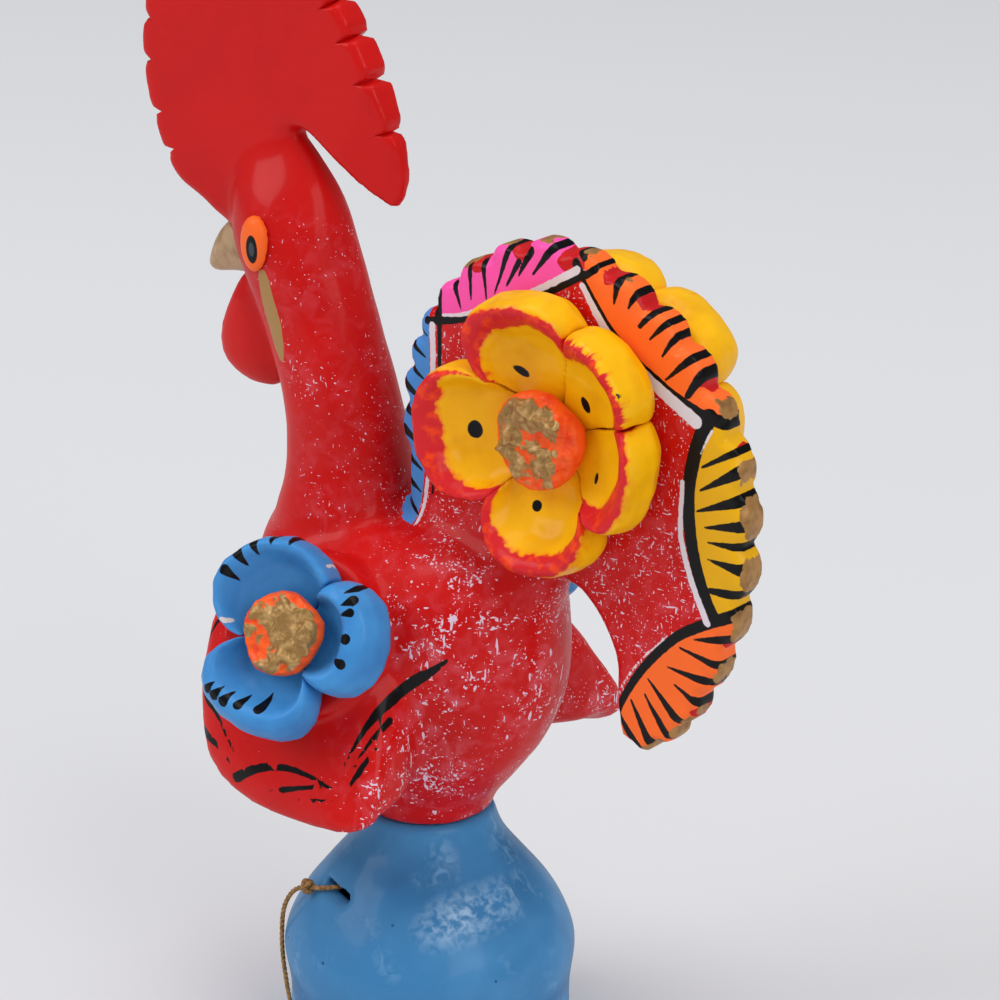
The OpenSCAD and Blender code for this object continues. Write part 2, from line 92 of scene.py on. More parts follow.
# %% Lay the twine
twine_route = [
    (11, -3.5, 36.5), (15, -7, 36.5), (19.2, -11.2, 36.4), (19, -15.4, 35.4),
    (18.8, -19, 33.4), (18.8, -21.4, 29.5), (18.8, -22.2, 24.5), (20, -21, 18.5),
    (24.4, -15.6, 12.6), (26.6, -11.6, 7), (28.4, -9.4, 2.8), (31, -8.6, 0.9),
    (35.5, -9, 0.6), (40, -11, 0.6), (43, -14.5, 0.6)]
twine_thickness = 1.0


def catmull(p0, p1, p2, p3, f):
    """A point between p1 and p2 on the smooth curve through the four points."""
    return 0.5 * (2 * p1 + (p2 - p0) * f + (2 * p0 - 5 * p1 + 4 * p2 - p3) * f**2
                  + (3 * p1 - p0 - 3 * p2 + p3) * f**3)


def smooth_row(points, steps):
    """An open row of points, with steps smooth points for each given one."""
    p = [np.array(q, float) for q in points]
    p = [2 * p[0] - p[1]] + p + [2 * p[-1] - p[-2]]
    row = [catmull(*p[i:i + 4], j / steps) for i in range(len(p) - 3) for j in range(steps)]
    return row + [p[-2]]


def only(*pieces):
    """Selects these pieces and nothing else."""
    bpy.ops.object.select_all(action="DESELECT")
    for piece in pieces:
        piece.select_set(True)
    bpy.context.view_layer.objects.active = pieces[0]


def edited(piece, *steps):
    """Runs steps of edit mode on the whole mesh of a piece."""
    only(piece)
    bpy.ops.object.mode_set(mode="EDIT")
    bpy.ops.mesh.select_all(action="SELECT")
    for step in steps:
        step()
    bpy.ops.object.mode_set(mode="OBJECT")


def merge():
    bpy.ops.mesh.remove_doubles(threshold=1e-6)


def face_outward():
    bpy.ops.mesh.normals_make_consistent(inside=False)


def tube_piece(name, line, outline, twist):
    """Sweeps an outline, a list of (x, y) in mm, along a line in mm with a twist."""
    side = bpy.data.curves.new(name + "_outline", "CURVE")
    spline = side.splines.new("POLY")
    spline.points.add(len(outline) - 1)
    for point, (x, y) in zip(spline.points, outline):
        point.co = (mm(x), mm(y), 0, 1)
    spline.use_cyclic_u = True
    side_piece = bpy.data.objects.new(name + "_outline", side)
    bpy.context.scene.collection.objects.link(side_piece)
    curve = bpy.data.curves.new(name, "CURVE")
    curve.dimensions = "3D"
    curve.twist_mode = "MINIMUM"
    spline = curve.splines.new("POLY")
    spline.points.add(len(line) - 1)
    run = 0.0
    for i, (point, place) in enumerate(zip(spline.points, line)):
        run += float(np.linalg.norm(line[i] - line[i - 1])) if i else 0.0
        point.co = (*[mm(float(v)) for v in place], 1)
        point.tilt = run * twist
    curve.bevel_mode = "OBJECT"
    curve.bevel_object = side_piece
    curve.use_fill_caps = True
    piece = bpy.data.objects.new(name, curve)
    bpy.context.scene.collection.objects.link(piece)
    only(piece)
    bpy.ops.object.convert(target="MESH")
    bpy.data.objects.remove(side_piece)
    edited(piece, merge, face_outward)
    bpy.ops.object.shade_smooth()
    return piece


def yarns(radius, count, depth):
    """A round outline with count lobes, one for each yarn."""
    return [((radius - depth + depth * abs(math.cos(count * q / 2))) * math.cos(q),
             (radius - depth + depth * abs(math.cos(count * q / 2))) * math.sin(q))
            for q in (2 * math.pi * i / 24 for i in range(24))]


twine_line = smooth_row(twine_route, 14)
twine = tube_piece("twine_yarn", twine_line, yarns(twine_thickness / 2, 3, 0.14), 1.9)

# %% [markdown]
# ## The knot
# The twine is drawn once round itself outside the slot. A knot is the same yarn
# in a tight loop, so a short closed turn of the same outline is used, laid round
# the twine at the place of the knot, with a second turn crossing it.

# %% Tie the knot
knot_middle = np.array((19.5, -14.9, 35.8))


def knot_line(radius, rise, lean, start):
    """One and a quarter turns round the twine, rising as they go."""
    turns = []
    for i in range(41):
        q = start + 2.5 * math.pi * i / 40
        turns.append(knot_middle + np.array((
            radius * math.cos(q), rise * (i / 20 - 1) + lean * math.sin(q), radius * math.sin(q))))
    return turns


knot_a = tube_piece("knot_turn_a", knot_line(1.05, 0.5, 0.35, 0.4), yarns(0.5, 3, 0.12), 1.9)
knot_b = tube_piece("knot_turn_b", knot_line(1.0, -0.7, -0.3, 2.2), yarns(0.48, 3, 0.12), 1.9)
only(knot_a, knot_b)
bpy.ops.object.join()
knot = knot_a
knot.name = "twine_knot_turns"
print("knot:", len(knot.data.polygons), "faces")

# %% [markdown]
# ## From construction solids to smooth clay
# The construction solids have flat facets, and clay has none. Each solid is
# copied, its loose triangles are merged, and a voxel remesh turns it into an even
# net of small squares that a Smooth modifier can relax. The same net also carries
# the paint later on.

# %% Helpers that copy solids and work them like clay


def applied(piece, kind, **settings):
    """Adds one modifier to a piece and makes its result the piece's own mesh."""
    only(piece)
    step = piece.modifiers.new(kind.lower(), kind)
    for name, value in settings.items():
        setattr(step, name, value)
    bpy.ops.object.modifier_apply(modifier=step.name)
    return piece


def copy_of(name, node, swell=0.0):
    """A merged copy of one construction solid, swollen by a little."""
    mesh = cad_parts[node].data.copy()
    mesh.materials.clear()
    piece = bpy.data.objects.new(name, mesh)
    bpy.context.scene.collection.objects.link(piece)
    edited(piece, merge)
    if swell:
        applied(piece, "DISPLACE", strength=mm(swell), mid_level=0.0)
    return piece


def remeshed(piece, grain):
    """Gives a piece an even net of squares, grain mm wide."""
    return applied(piece, "REMESH", mode="VOXEL", voxel_size=mm(grain))


def smoothed(piece, rounds, group=""):
    """Relaxes the net of a piece, only where its vertex group says so."""
    applied(piece, "SMOOTH", factor=0.5, iterations=rounds, vertex_group=group)
    bpy.ops.object.shade_smooth()
    return piece


def pressed(piece, kind, size, depth, group, middle):
    """Presses a pattern, size mm wide and depth mm deep, into part of a piece."""
    pattern = bpy.data.textures.new(piece.name + "_" + kind, kind)
    pattern.noise_scale = mm(size)
    return applied(piece, "DISPLACE", texture=pattern, texture_coords="LOCAL",
                   strength=mm(depth), mid_level=middle, vertex_group=group)


def uneven(piece, size, depth, group=""):
    """Adds soft dents, size mm wide and depth mm deep, as fingers leave in clay."""
    dents = bpy.data.textures.new(piece.name + "_dents", "CLOUDS")
    dents.noise_scale = mm(size)
    dents.noise_depth = 1
    return applied(piece, "DISPLACE", texture=dents, texture_coords="LOCAL",
                   strength=mm(2 * depth), mid_level=0.5, vertex_group=group)


def corners(piece):
    """The places of all vertices of a piece, in mm, as one table."""
    table = np.empty(3 * len(piece.data.vertices))
    piece.data.vertices.foreach_get("co", table)
    return table.reshape(-1, 3) * 1000.0


def distance_to(node, places, reach):
    """Distance in mm from each place to a construction solid, reach at most."""
    tree = BVHTree.FromObject(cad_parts[node], bpy.context.evaluated_depsgraph_get())
    low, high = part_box(node)
    low = np.array(low) * 1000 - reach
    high = np.array(high) * 1000 + reach
    near = np.all((places > low) & (places < high), axis=1)
    found = np.full(len(places), float(reach))
    for i in np.nonzero(near)[0]:
        hit = tree.find_nearest(Vector(places[i] / 1000.0), mm(reach))
        if hit[0] is not None:
            found[i] = hit[3] * 1000.0
    return found


def weigh(piece, name, weights):
    """Stores a weight for each vertex in a vertex group."""
    group = piece.vertex_groups.new(name=name)
    for step in range(21):
        chosen = np.nonzero(np.round(weights * 20) == step)[0]
        if step and len(chosen):
            group.add(chosen.tolist(), step / 20, "REPLACE")
    return name


print("helpers are ready")

# %% [markdown]
# ## The red clay of the bird
# On the real rooster the body, neck, head, comb, wattle, wings and tail are
# luted together while the clay is soft, and the joints are rubbed smooth. So all
# these solids become one skin. The relaxing is strong on the round forms and near
# the joints, weak on the comb, and none on the tail, whose edges stay crisp.

# %% Join the red forms in one skin
round_forms = ["body", "neck_and_head", "wing_left", "wing_right"]
crisp_forms = ["comb", "tail_fan", "wattle"]
lumps = [copy_of("bird_skin_" + node, node, swell=0.12) for node in round_forms + crisp_forms]
only(*lumps)
bpy.ops.object.join()
bird = lumps[0]
bird.name = "bird_skin"
remeshed(bird, 0.6)
places = corners(bird)
to_round = np.min([distance_to(node, places, 6.0) for node in round_forms], axis=0)
rim_of_wing = np.clip((np.abs(places[:, 0]) - 27.0) / 5.0, 0, 1)
softness = np.clip(1.15 - to_round / 5.0, 0, 1) * (1 - 0.85 * rim_of_wing)
softness = np.where(distance_to("comb", places, 1.0) < 0.9, np.maximum(softness, 0.2), softness)
smoothed(bird, 2)
smoothed(bird, 60, weigh(bird, "soft", softness))
print("skin:", len(bird.data.vertices), "vertices")

# %% Press the marks of the maker's fingers into the skin
weigh(bird, "round", np.clip(1 - to_round / 3.0, 0, 1))
uneven(bird, 16, 0.45, "round")
applied(bird, "DECIMATE", ratio=0.5, vertex_group=weigh(bird, "thin", np.clip(1 - to_round / 2.0, 0, 1)))
bpy.ops.object.shade_smooth()
print("skin:", sum(len(f.vertices) - 2 for f in bird.data.polygons), "triangles")

# %% [markdown]
# ## The carved rim of the comb
# The maker cuts chips out of the rim of the comb with a knife, from both faces,
# when the clay is half dry. Each cut is deep on the face and shallow in the middle
# of the rim. The cuts come after the smoothing, so their edges stay sharp. The
# outline and the places of the cuts are those of the construction.

# %% Carve the rim
comb_shape = [
    (0, 0), (-0.1, 0.07), (-0.2, 0.13), (-0.27, 0.26), (-0.32, 0.45), (-0.32, 0.66),
    (-0.25, 0.86), (-0.04, 0.99), (0.21, 0.98), (0.4, 0.86), (0.53, 0.67), (0.62, 0.46),
    (0.675, 0.27), (0.645, 0.15), (0.55, 0.19)]
comb_foot, comb_size = np.array((-46.0, 160.12)), np.array((62.0, 57.0))
cuts = [2.6, 3.4, 4.3, 5, 5.7, 6.4, 7, 7.6, 8.2, 8.75, 9.3, 9.85, 10.5, 11.3]


def comb_edge(k):
    """The (y, z) of a point on the comb's rim, k stations from its front root."""
    i, n = int(k), len(comb_shape)
    ring = [np.array(comb_shape[(i + j) % n]) for j in (-1, 0, 1, 2)]
    return comb_foot + comb_size * catmull(*ring, k - i)


def knife(k, side):
    """A wedge with three sides that takes one chip from one face of the rim."""
    along_rim = comb_edge(k + 0.1) - comb_edge(k - 0.1)
    along_rim /= np.linalg.norm(along_rim)
    outward = np.array((-along_rim[1], along_rim[0]))
    if outward @ (comb_edge(k) - comb_foot - comb_size * (0.1, 0.5)) < 0:
        outward = -outward
    deep = 4.2 if k > 6 else 3.0
    # the wedge's two ends: x, and (along the rim, outward) of three corners
    ends = [(-0.8, ((0, -0.5), (-0.5, 1.2), (1.3, 1.2))),
            (4.4, ((-0.2, -deep - 0.6), (-1.1, 1.2), (3.0, 1.2)))]
    mesh = bpy.data.meshes.new("knife")
    mesh.from_pydata([(mm(side * x), *(mm(float(v)) for v in comb_edge(k) + along_rim * a + outward * b))
                      for x, profile in ends for a, b in profile], [],
                     [(0, 1, 2), (5, 4, 3), (0, 3, 4, 1), (1, 4, 5, 2), (2, 5, 3, 0)])
    bar = bpy.data.objects.new("knife", mesh)
    bpy.context.scene.collection.objects.link(bar)
    edited(bar, bpy.ops.mesh.quads_convert_to_tris, face_outward)
    return bar


for side in (1, -1):
    bars = [knife(k, side) for k in cuts]
    only(*bars)
    bpy.ops.object.join()
    applied(bird, "BOOLEAN", operation="DIFFERENCE", solver="EXACT", object=bars[0])
    bpy.data.objects.remove(bars[0])
bpy.ops.object.shade_smooth()
print("skin:", sum(len(f.vertices) - 2 for f in bird.data.polygons), "triangles")

# %% [markdown]
# ## Beak, eyes and stand
# These are smaller lumps of clay, each with its own colour. They keep their
# places, and get the same net and the same smoothing as the skin.

# %% Smooth the beak, the eyes and the stand
beak = smoothed(remeshed(copy_of("beak_clay", "beak"), 0.35), 14)
eyes = {side: smoothed(remeshed(copy_of("eye_clay_" + side, "eye_" + side), 0.3), 8)
        for side in ("left", "right")}
stand = smoothed(remeshed(copy_of("stand_clay", "stand"), 0.7), 8)
stand_height = corners(stand)[:, 2]
uneven(stand, 14, 0.25, weigh(stand, "above", np.clip(stand_height / 4.0, 0, 1)))
print("stand:", len(stand.data.polygons), "faces")

# %% [markdown]
# ## The petals
# Each petal is a pat of clay with a thick raised rim, pressed on beside its
# neighbours. The construction solids give the cup, and the dents make no two
# petals alike. The seams and forms of the tail's flowers are those of the
# construction: a seam is its direction and its share of the flower's radius, and
# a form is the petal's share of the radius, the place of its ridge, and the bend
# of its outline.

# %% Smooth the petals
flower_y, flower_z, tail_face = 34.0, 133.96, 3.5
shift = {"left": (0.0, 0.0), "right": (4.5, 4.0)}
tail_radius = 27.0
tail_seams = [(17, 0.8), (72, 0.84), (140, 0.62), (230, 0.62), (310, 0.66), (377, 0.8)]
tail_forms = [(0.93, 0.9, 3.5), (1, 0.9, 3.5), (1, 0.9, 3), (0.94, 0.9, 3.5), (0.87, 0.9, 4)]
tail_petals, wing_petals = {}, {}
for side in ("left", "right"):
    for k in range(5):
        node = f"tail_flower_{side}_petal_{k + 1}"
        petal = smoothed(remeshed(copy_of(f"tail_petal_{side}_{k + 1}", node, 0.15), 0.42), 9)
        uneven(petal, 7, 0.55)
        tail_petals[side, k] = petal
    for k in range(3):
        node = f"wing_flower_{side}_petal_{k + 1}"
        petal = smoothed(remeshed(copy_of(f"wing_petal_{side}_{k + 1}", node, 0.15), 0.4), 12)
        uneven(petal, 8, 0.5)
        wing_petals[side, k] = petal
print(len(tail_petals) + len(wing_petals), "petals")

# %% [markdown]
# ## The hearts of the flowers
# The heart is a knob of clay pressed on to the middle of the flower, and then
# pinched and pricked until its face is crumpled. The face alone is pressed with
# two patterns of pits, through a vertex group. How deep each point sinks is kept,
# because the painter's gold stays on the raised parts.

# %% Model the hearts


def on_tail(side):
    """Where a tail flower sits: its axis is +X or -X."""
    flip = 1 if side == "left" else -1
    return Matrix(((0, 0, flip, flip * mm(tail_face)), (1, 0, 0, mm(flower_y + shift[side][0])),
                   (0, 1, 0, mm(flower_z + shift[side][1])), (0, 0, 0, 1)))


def on_wing(side):
    """Where a wing flower sits: on the wing's face, leaning up and back."""
    place = (Matrix.Translation((mm(38 * 0.79), mm(-6.5), mm(60 + 48 * 0.7)))
             @ Matrix.Rotation(math.radians(14), 4, "Z")
             @ Matrix.Rotation(math.radians(69), 4, "Y")
             @ Matrix.Rotation(math.radians(90), 4, "Z"))
    return place if side == "left" else Matrix.Scale(-1, 4, (1, 0, 0)) @ place


def flat_view(piece, place):
    """The vertices of a piece as the flower sees them, in mm: its axis is Z."""
    table = np.column_stack((corners(piece) / 1000, np.ones(len(piece.data.vertices))))
    return (table @ np.array(place.inverted()).T * 1000)[:, :3]


def heart_piece(name, node, place, radius, face_height, foot_height):
    """A crumpled knob of clay, from its construction solid. Heights are in mm."""
    piece = smoothed(remeshed(copy_of(name, node, 0.2), 0.3), 6)
    uneven(piece, 9, 0.5)
    before = flat_view(piece, place)
    away = np.linalg.norm(before[:, :2], axis=1)
    face = (np.clip((before[:, 2] - face_height + 2.2) / 1.4, 0, 1)
            * np.clip((radius + 0.6 - away) / 1.6, 0, 1))
    group = weigh(piece, "face", face)
    pressed(piece, "CLOUDS", 4.5, 3.0, group, 0.5)
    pressed(piece, "VORONOI", 5.0, 1.3, group, 0.4)
    pressed(piece, "DISTORTED_NOISE", 2.2, 0.7, group, 0.5)
    smoothed(piece, 3)
    after = flat_view(piece, place)
    sunk = face_height - after[:, 2]
    # a heart of the tail is rubbed with gold from its front side only
    gold_side = 0.5 * np.clip(after[:, 0] - 3.5, 0, 6) - 0.28 if foot_height == 0 else 0.0
    store(piece, "sunk", np.where(face > 0.1, sunk + gold_side, 9))
    store(piece, "foot", np.where(foot_height > 0, after[:, 2] - foot_height, 9))
    return piece


def store(piece, name, values):
    """Keeps one number for each vertex, for the shader to read."""
    layer = piece.data.attributes.new(name, "FLOAT", "POINT")
    layer.data.foreach_set("value", np.clip(values, -20, 20).astype(np.float32))


hearts = {}
for side in ("left", "right"):
    hearts["tail", side] = heart_piece(
        "tail_heart_" + side, f"tail_flower_{side}_heart", on_tail(side), 9.0, 9.6, 0)
    hearts["wing", side] = heart_piece(
        "wing_heart_" + side, f"wing_flower_{side}_heart", on_wing(side), 7.7, 9.4, 4.6)
print(len(hearts), "hearts")

# %% [markdown]
# ## Brush strokes as distances
# A painted stroke has a crisp edge, and a net of squares is too coarse to colour
# square by square. So each vertex stores how far it lies from the edge of the
# paint, in millimetres: less than zero inside, more than zero outside. The shader
# finds the edge between the vertices by itself.

# %% Helpers that measure strokes and patches


def stroke_distance(points, start, end, width_start, width_end):
    """Distance to one tapered stroke. The points and its ends have 2 or 3 numbers."""
    a, b = np.array(start, float), np.array(end, float)
    line = b - a
    t = np.clip((points - a) @ line / max(float(line @ line), 1e-9), 0, 1)
    gap = np.linalg.norm(points - a - t[:, None] * line, axis=1)
    return gap - (width_start + (width_end - width_start) * t) / 2


def line_distance(points, stations, width_start, width_end=None, skin=None):
    """Distance to a stroke through many stations, thinning along its way. With a
    skin, its search tree, the stroke is laid down on the skin first."""
    width_end = width_start if width_end is None else width_end
    row = smooth_row(stations, 4)
    if skin:
        row = [np.array(skin.find_nearest(Vector(spot / 1000))[0]) * 1000 for spot in row]
    widths = np.linspace(width_start, width_end, len(row))
    return np.min([stroke_distance(points, row[i], row[i + 1], widths[i], widths[i + 1])
                   for i in range(len(row) - 1)], axis=0)


def patch_distance(points, outline):
    """Distance to the edge of a closed patch in a plane, less than 0 inside."""
    gap = np.full(len(points), 1e9)
    inside = np.zeros(len(points), bool)
    y, z = points[:, 0], points[:, 1]
    for (y0, z0), (y1, z1) in zip(outline, outline[1:] + outline[:1]):
        gap = np.minimum(gap, stroke_distance(points, (y0, z0), (y1, z1), 0, 0))
        crosses = (z0 > z) != (z1 > z)
        with np.errstate(divide="ignore", invalid="ignore"):
            inside ^= crosses & (y < (y1 - y0) * (z - z0) / (z1 - z0) + y0)
    return np.where(inside, -gap, gap)


def spot_distance(points, middle, radius):
    return np.linalg.norm(points - np.array(middle, float), axis=1) - radius


print("brushes are ready")

# %% [markdown]
# ## The painted tail
# Along the rim of the tail run five bands of colour: blue, pink, orange, yellow
# and orange again. Each has black wedges that start broad at the rim and end in a
# point, and a black line with a white one closes it on the inner side. All of it
# is laid out in the plane of the tail, as (y, z), and so both faces get it.

# %% Lay out the bands
bands = {
    "blue": [(-8, 106), (-8, 153), (3.6, 153), (3.7, 139), (3, 125), (1.6, 114), (0, 106)],
    "pink": [(5.2, 149.8), (13, 151.8), (20, 154.2), (27.2, 157.7), (38, 163.9),
             (34.6, 167), (34.4, 175), (20, 175), (4, 164)],
    "orange": [(38.8, 162.4), (41.7, 158.2), (44.6, 154.5), (48.9, 150.6), (53.9, 147.6),
               (57.5, 145.3), (63.1, 142.9), (70, 141.5), (80, 143), (76, 160), (56, 176),
               (37.5, 176)],
    "yellow": [(64.5, 142.5), (62.5, 135.4), (61.8, 127.9), (62.4, 120.6), (63.9, 114.1),
               (66.2, 108.4), (67.5, 105.5), (82, 106), (82, 141)],
    "lower": [(70.9, 106.6), (65.4, 103.7), (59.1, 99.6), (52.7, 92.8), (48.5, 86.2),
              (46.7, 82), (43, 76), (56, 68), (82, 88), (82, 106)]}
wedges = [
    # pink band
    (9.6, 157.2, 11.2, 152.4, 1.3, 0.2), (13, 162.9, 13.4, 155, 1.3, 0.4),
    (16, 162.9, 17, 155, 1.2, 0.3), (22.6, 167.8, 18.7, 156.9, 1.6, 0.3),
    (24.2, 163.8, 21.4, 158.8, 1.2, 0.4), (26.6, 166, 24.2, 161.2, 1.6, 0.4),
    (33, 169.3, 27.3, 162, 2.1, 0.5), (5.2, 157, 5.4, 150.2, 0.7, 0.8),
    (33.7, 169.7, 38.2, 166.4, 0.8, 0.9),
    # orange band
    (41.9, 166.4, 38.9, 163.7, 1.2, 0.8), (45.5, 163.3, 45, 159.5, 1.8, 0.4),
    (50.3, 164.1, 48.1, 159.2, 2.2, 0.5), (54, 160.2, 50.5, 156.3, 1.7, 0.9),
    (58, 159.9, 52.7, 154.3, 2.1, 0.4), (58.5, 157, 55.4, 151.7, 1.5, 0.5),
    (63.4, 154.2, 56.2, 147.6, 2.2, 0.4), (64.3, 151.2, 60.8, 145.5, 2.1, 1.2),
    (66.3, 150.8, 68.9, 145.8, 1, 0.6),
    # yellow band
    (73, 138.3, 64.2, 133.1, 1.8, 0.5), (73, 134.3, 63.8, 128.7, 2.7, 0.4),
    (73.2, 128.7, 63.3, 124.8, 2.7, 0.4), (74, 124, 65, 122.1, 2.6, 0.4),
    (73.8, 119.6, 65.7, 119.5, 2.2, 0.3), (73.3, 115.5, 65.7, 116.3, 2.5, 0.3),
    (75, 110.5, 66.5, 110.6, 2.5, 1.2),
    # lower band
    (70.4, 101.9, 63.2, 100.6, 2.1, 0.4), (69.2, 96.3, 60.2, 98.3, 1.8, 0.4),
    (68.4, 92.7, 57.6, 94, 2.1, 0.4), (65.5, 87.3, 59.2, 90.9, 2.2, 0.4),
    (60.5, 83.5, 53.4, 90.7, 2.1, 0.4), (57.5, 80.3, 52.8, 87.5, 1.8, 0.4),
    (54.2, 77.7, 49.8, 85.6, 2, 0.5), (51.2, 76.8, 46.9, 82.3, 1.8, 1)]
# blue band: slanting wedges, one below the other
wedges += [(-3 + 0.1 * i, 150.5 - 4.6 * i, 3.2 - 0.22 * i, 146.4 - 4.4 * i, 1.9, 0.3) for i in range(9)]
print(len(bands), "bands,", len(wedges), "wedges")

# %% Lay out the lines, the gold and the red marks of the tail
black_lines = [
    ([(3.2, 149.3), (5.3, 149.6), (13, 151.6), (27.2, 157.5), (38.1, 163.6)], 1.5, 1.7),
    ([(6, 154.9), (6.1, 149.7), (6, 139.8), (5.4, 128), (4.2, 116)], 1.3, 0.5),
    ([(36.6, 165.4), (38.2, 163.6), (40.4, 164.6)], 2.0, 1.2),
    ([(38, 163.2), (41.7, 158.2), (44.6, 154.7), (48.9, 150.9), (53.9, 147.9)], 0.9, 0.8),
    ([(53.9, 147.9), (57.5, 145.5), (63.1, 142.9), (69, 141.4)], 0.9, 2.6),
    ([(65.4, 142.6), (62.8, 136), (61.4, 128), (61.9, 120.6), (63.4, 114.1), (65.7, 108.4),
      (67.6, 105.4)], 2.9, 2.3),
    ([(72, 107.2), (65.4, 103.9), (59.1, 99.9), (52.7, 93), (48.5, 86.4), (46.6, 82),
      (46.4, 79.4)], 2.4, 1.0)]
white_lines = [
    ([(4.4, 148.6), (4.5, 139.5), (3.8, 125), (2.4, 114), (1, 107)], 1.4, 0.6),
    ([(6.9, 150.9), (13, 152.4), (27.2, 158.7), (37, 164.3)], 0.5, 1.5),
    ([(38.1, 161.6), (41, 157.4), (44.6, 152.9), (50.4, 148.5), (56.1, 144.9), (62.6, 141.2)], 1.2, 2.6),
    ([(60.1, 129.5), (59.9, 120.2), (61.4, 114.3), (63.4, 109.2), (65.9, 104.3)], 0.9, 1.4),
    ([(57.4, 99.9), (51.2, 93.2), (47, 86.6), (45.4, 82.4)], 0.4, 0.4),
    ([(65.9, 140), (63.8, 135.5)], 0.5, 0.3)]
gold_spots = [
    (13, 161.6, 1.3), (21.4, 166.5, 1.4), (30.4, 168.4, 1.7), (40, 167, 1.9), (48.4, 163.8, 2),
    (55.4, 160.8, 2.2), (62.9, 153.1, 2.2), (68.1, 143.5, 2.5), (70.2, 140.4, 2.3), (72.4, 131.2, 2.5),
    (73.3, 123.4, 2.8), (73.5, 114.6, 2.8), (71.8, 104.9, 2.7), (68.6, 95.6, 2.3), (65.5, 88.5, 2.4),
    (60.2, 82.4, 2.4), (54.1, 77.6, 1.8)]
red_spots = [
    (14.5, 161.8, 1.8), (24.4, 165.8, 1.9), (35.2, 166, 2.6), (43.6, 164.3, 1.9), (51.6, 161, 2.1),
    (64.5, 148.8, 2.2), (71.6, 137.9, 1.6), (73.2, 128, 1.4), (74, 119.4, 1.4), (73.4, 110, 1.6),
    (70.3, 100.2, 1.7), (67.6, 92.1, 1.4), (63.4, 85.8, 1.2)]


fan_middle = np.array((38.0, 125.0))


def along_the_rim(i):
    """A gold mark as a short stroke along the rim: start, end and width."""
    y, z, r = gold_spots[i]
    before, after = gold_spots[max(i - 1, 0)], gold_spots[min(i + 1, len(gold_spots) - 1)]
    way = np.array(after[:2]) - np.array(before[:2])
    way = way / np.linalg.norm(way) * 1.1 * r
    inward = fan_middle - (y, z)
    middle = np.array((y, z)) - inward / np.linalg.norm(inward) * 0.5
    return tuple(middle - way), tuple(middle + way), 1.1 * r, 0.9 * r


print(len(black_lines) + len(white_lines), "lines,", len(gold_spots), "gold marks")

# %% [markdown]
# ## The strokes on the wings and under the eyes
# Each wing has a few long brush strokes that hint at feathers, and a golden
# stroke runs down under each eye. They lie on curved clay, so they are stored as
# rows of points in space. The right side mirrors the left one.

# %% Lay out the strokes of wings and face
wing_strokes = [
    ([(17.8, 18.5, 90.4), (19, 16.7, 88.7), (20.2, 14.7, 87.2)], 0.7, 2.2),
    ([(20.2, 14.7, 87.2), (22.4, 11.8, 84.4), (24.8, 11, 83)], 2.2, 2.3),
    ([(24.8, 11, 83), (27.6, 10.3, 81.5), (30.2, 9.4, 78.7), (32, 8.4, 75.6), (33.8, 7, 71.6)], 2.3, 0.3),
    ([(26.7, 12.1, 79.8), (29.7, 11.5, 78), (31.9, 10.6, 75.4), (33.6, 9.2, 72)], 1.4, 0.3),
    ([(31, 12.6, 76.2), (32.6, 11.8, 74), (33.8, 10.8, 71.6)], 0.5, 1.4),
    ([(33.8, 10.8, 71.6), (34.6, 9.6, 69.2), (35, 8.6, 67.6)], 1.4, 0.2),
    ([(24.5, -35, 79), (26.5, -33.5, 75.5), (28, -31.6, 73.5), (29.7, -28.1, 72.4), (31.6, -24.5, 70.3),
      (33.3, -20.5, 67.4)], 1.7, 0.5),
    ([(29.7, -31.5, 68.3), (31.4, -28.3, 67.6), (32.6, -24.6, 66.9), (33.8, -20.9, 65.2)], 1.8, 0.5),
    ([(20.5, -33, 88.5), (21.6, -35, 85.5), (22.5, -36, 83)], 1.0, 0.5),
    ([(34.8, -18.9, 63), (34.6, -15.4, 65.3), (34.6, -10.9, 67.3), (34.9, -5.3, 68.5),
      (35.3, -0.1, 68.5), (35.8, 5.6, 67.7)], 2.2, 0.6),
    ([(36, -6.4, 64.3), (36.1, -1.9, 65.9), (35.8, 4.6, 67.8)], 1.3, 0.5),
    ([(36.8, -1.4, 63.7), (36.8, 3, 64.9), (36.6, 7.1, 65.9)], 1.0, 0.4)]
# the golden stroke under the eye: x, y, z and width at each station
face_row = [(10.2, -30.9, 153.4, 2.8), (9.9, -29.9, 148.6, 3.8), (9.7, -28.6, 144.6, 4.2),
            (9.4, -27.4, 140.4, 3.2), (9.4, -26.2, 135.9, 0.2)]
face_stroke = [(a[:3], b[:3], a[3], b[3]) for a, b in zip(face_row, face_row[1:])]
print(len(wing_strokes), "wing strokes")

# %% [markdown]
# ## The furrows of the tail's rim
# The rim of the tail is pinched between finger and thumb, lobe by lobe. So a
# shallow furrow runs inward on both faces between one lobe and the next. The gold
# marks sit on the lobes, so the furrows lie half way between them.

# %% Press the furrows
places = corners(bird)
deep = np.zeros(len(places))
furrow_depth = 0.75
for here, after in zip(gold_spots, gold_spots[1:]):
    foot = (np.array(here[:2]) + np.array(after[:2])) / 2
    inward = fan_middle - foot
    inward /= np.linalg.norm(inward)
    gap = stroke_distance(places[:, 1:3], foot - 3 * inward, foot + 5.5 * inward, 0, 0)
    along = (places[:, 1:3] - foot) @ inward
    furrow = furrow_depth * np.clip(1 - gap / 2.6, 0, 1) ** 1.5 * np.clip((6.5 - along) / 6.5, 0, 1)
    deep = np.maximum(deep, furrow)
flat_rim = (distance_to("tail_fan", places, 1.5) < 1.0) & (np.abs(places[:, 0]) < 6)
pushed = np.sign(places[:, 0]) * np.minimum(deep, 0.6 * np.abs(places[:, 0]))
places[:, 0] -= np.where(flat_rim, pushed, 0)
bird.data.vertices.foreach_set("co", (places / 1000).ravel())
bird.data.update()
print("furrows:", len(gold_spots) - 1)

# %% Make the net finer where thin strokes run


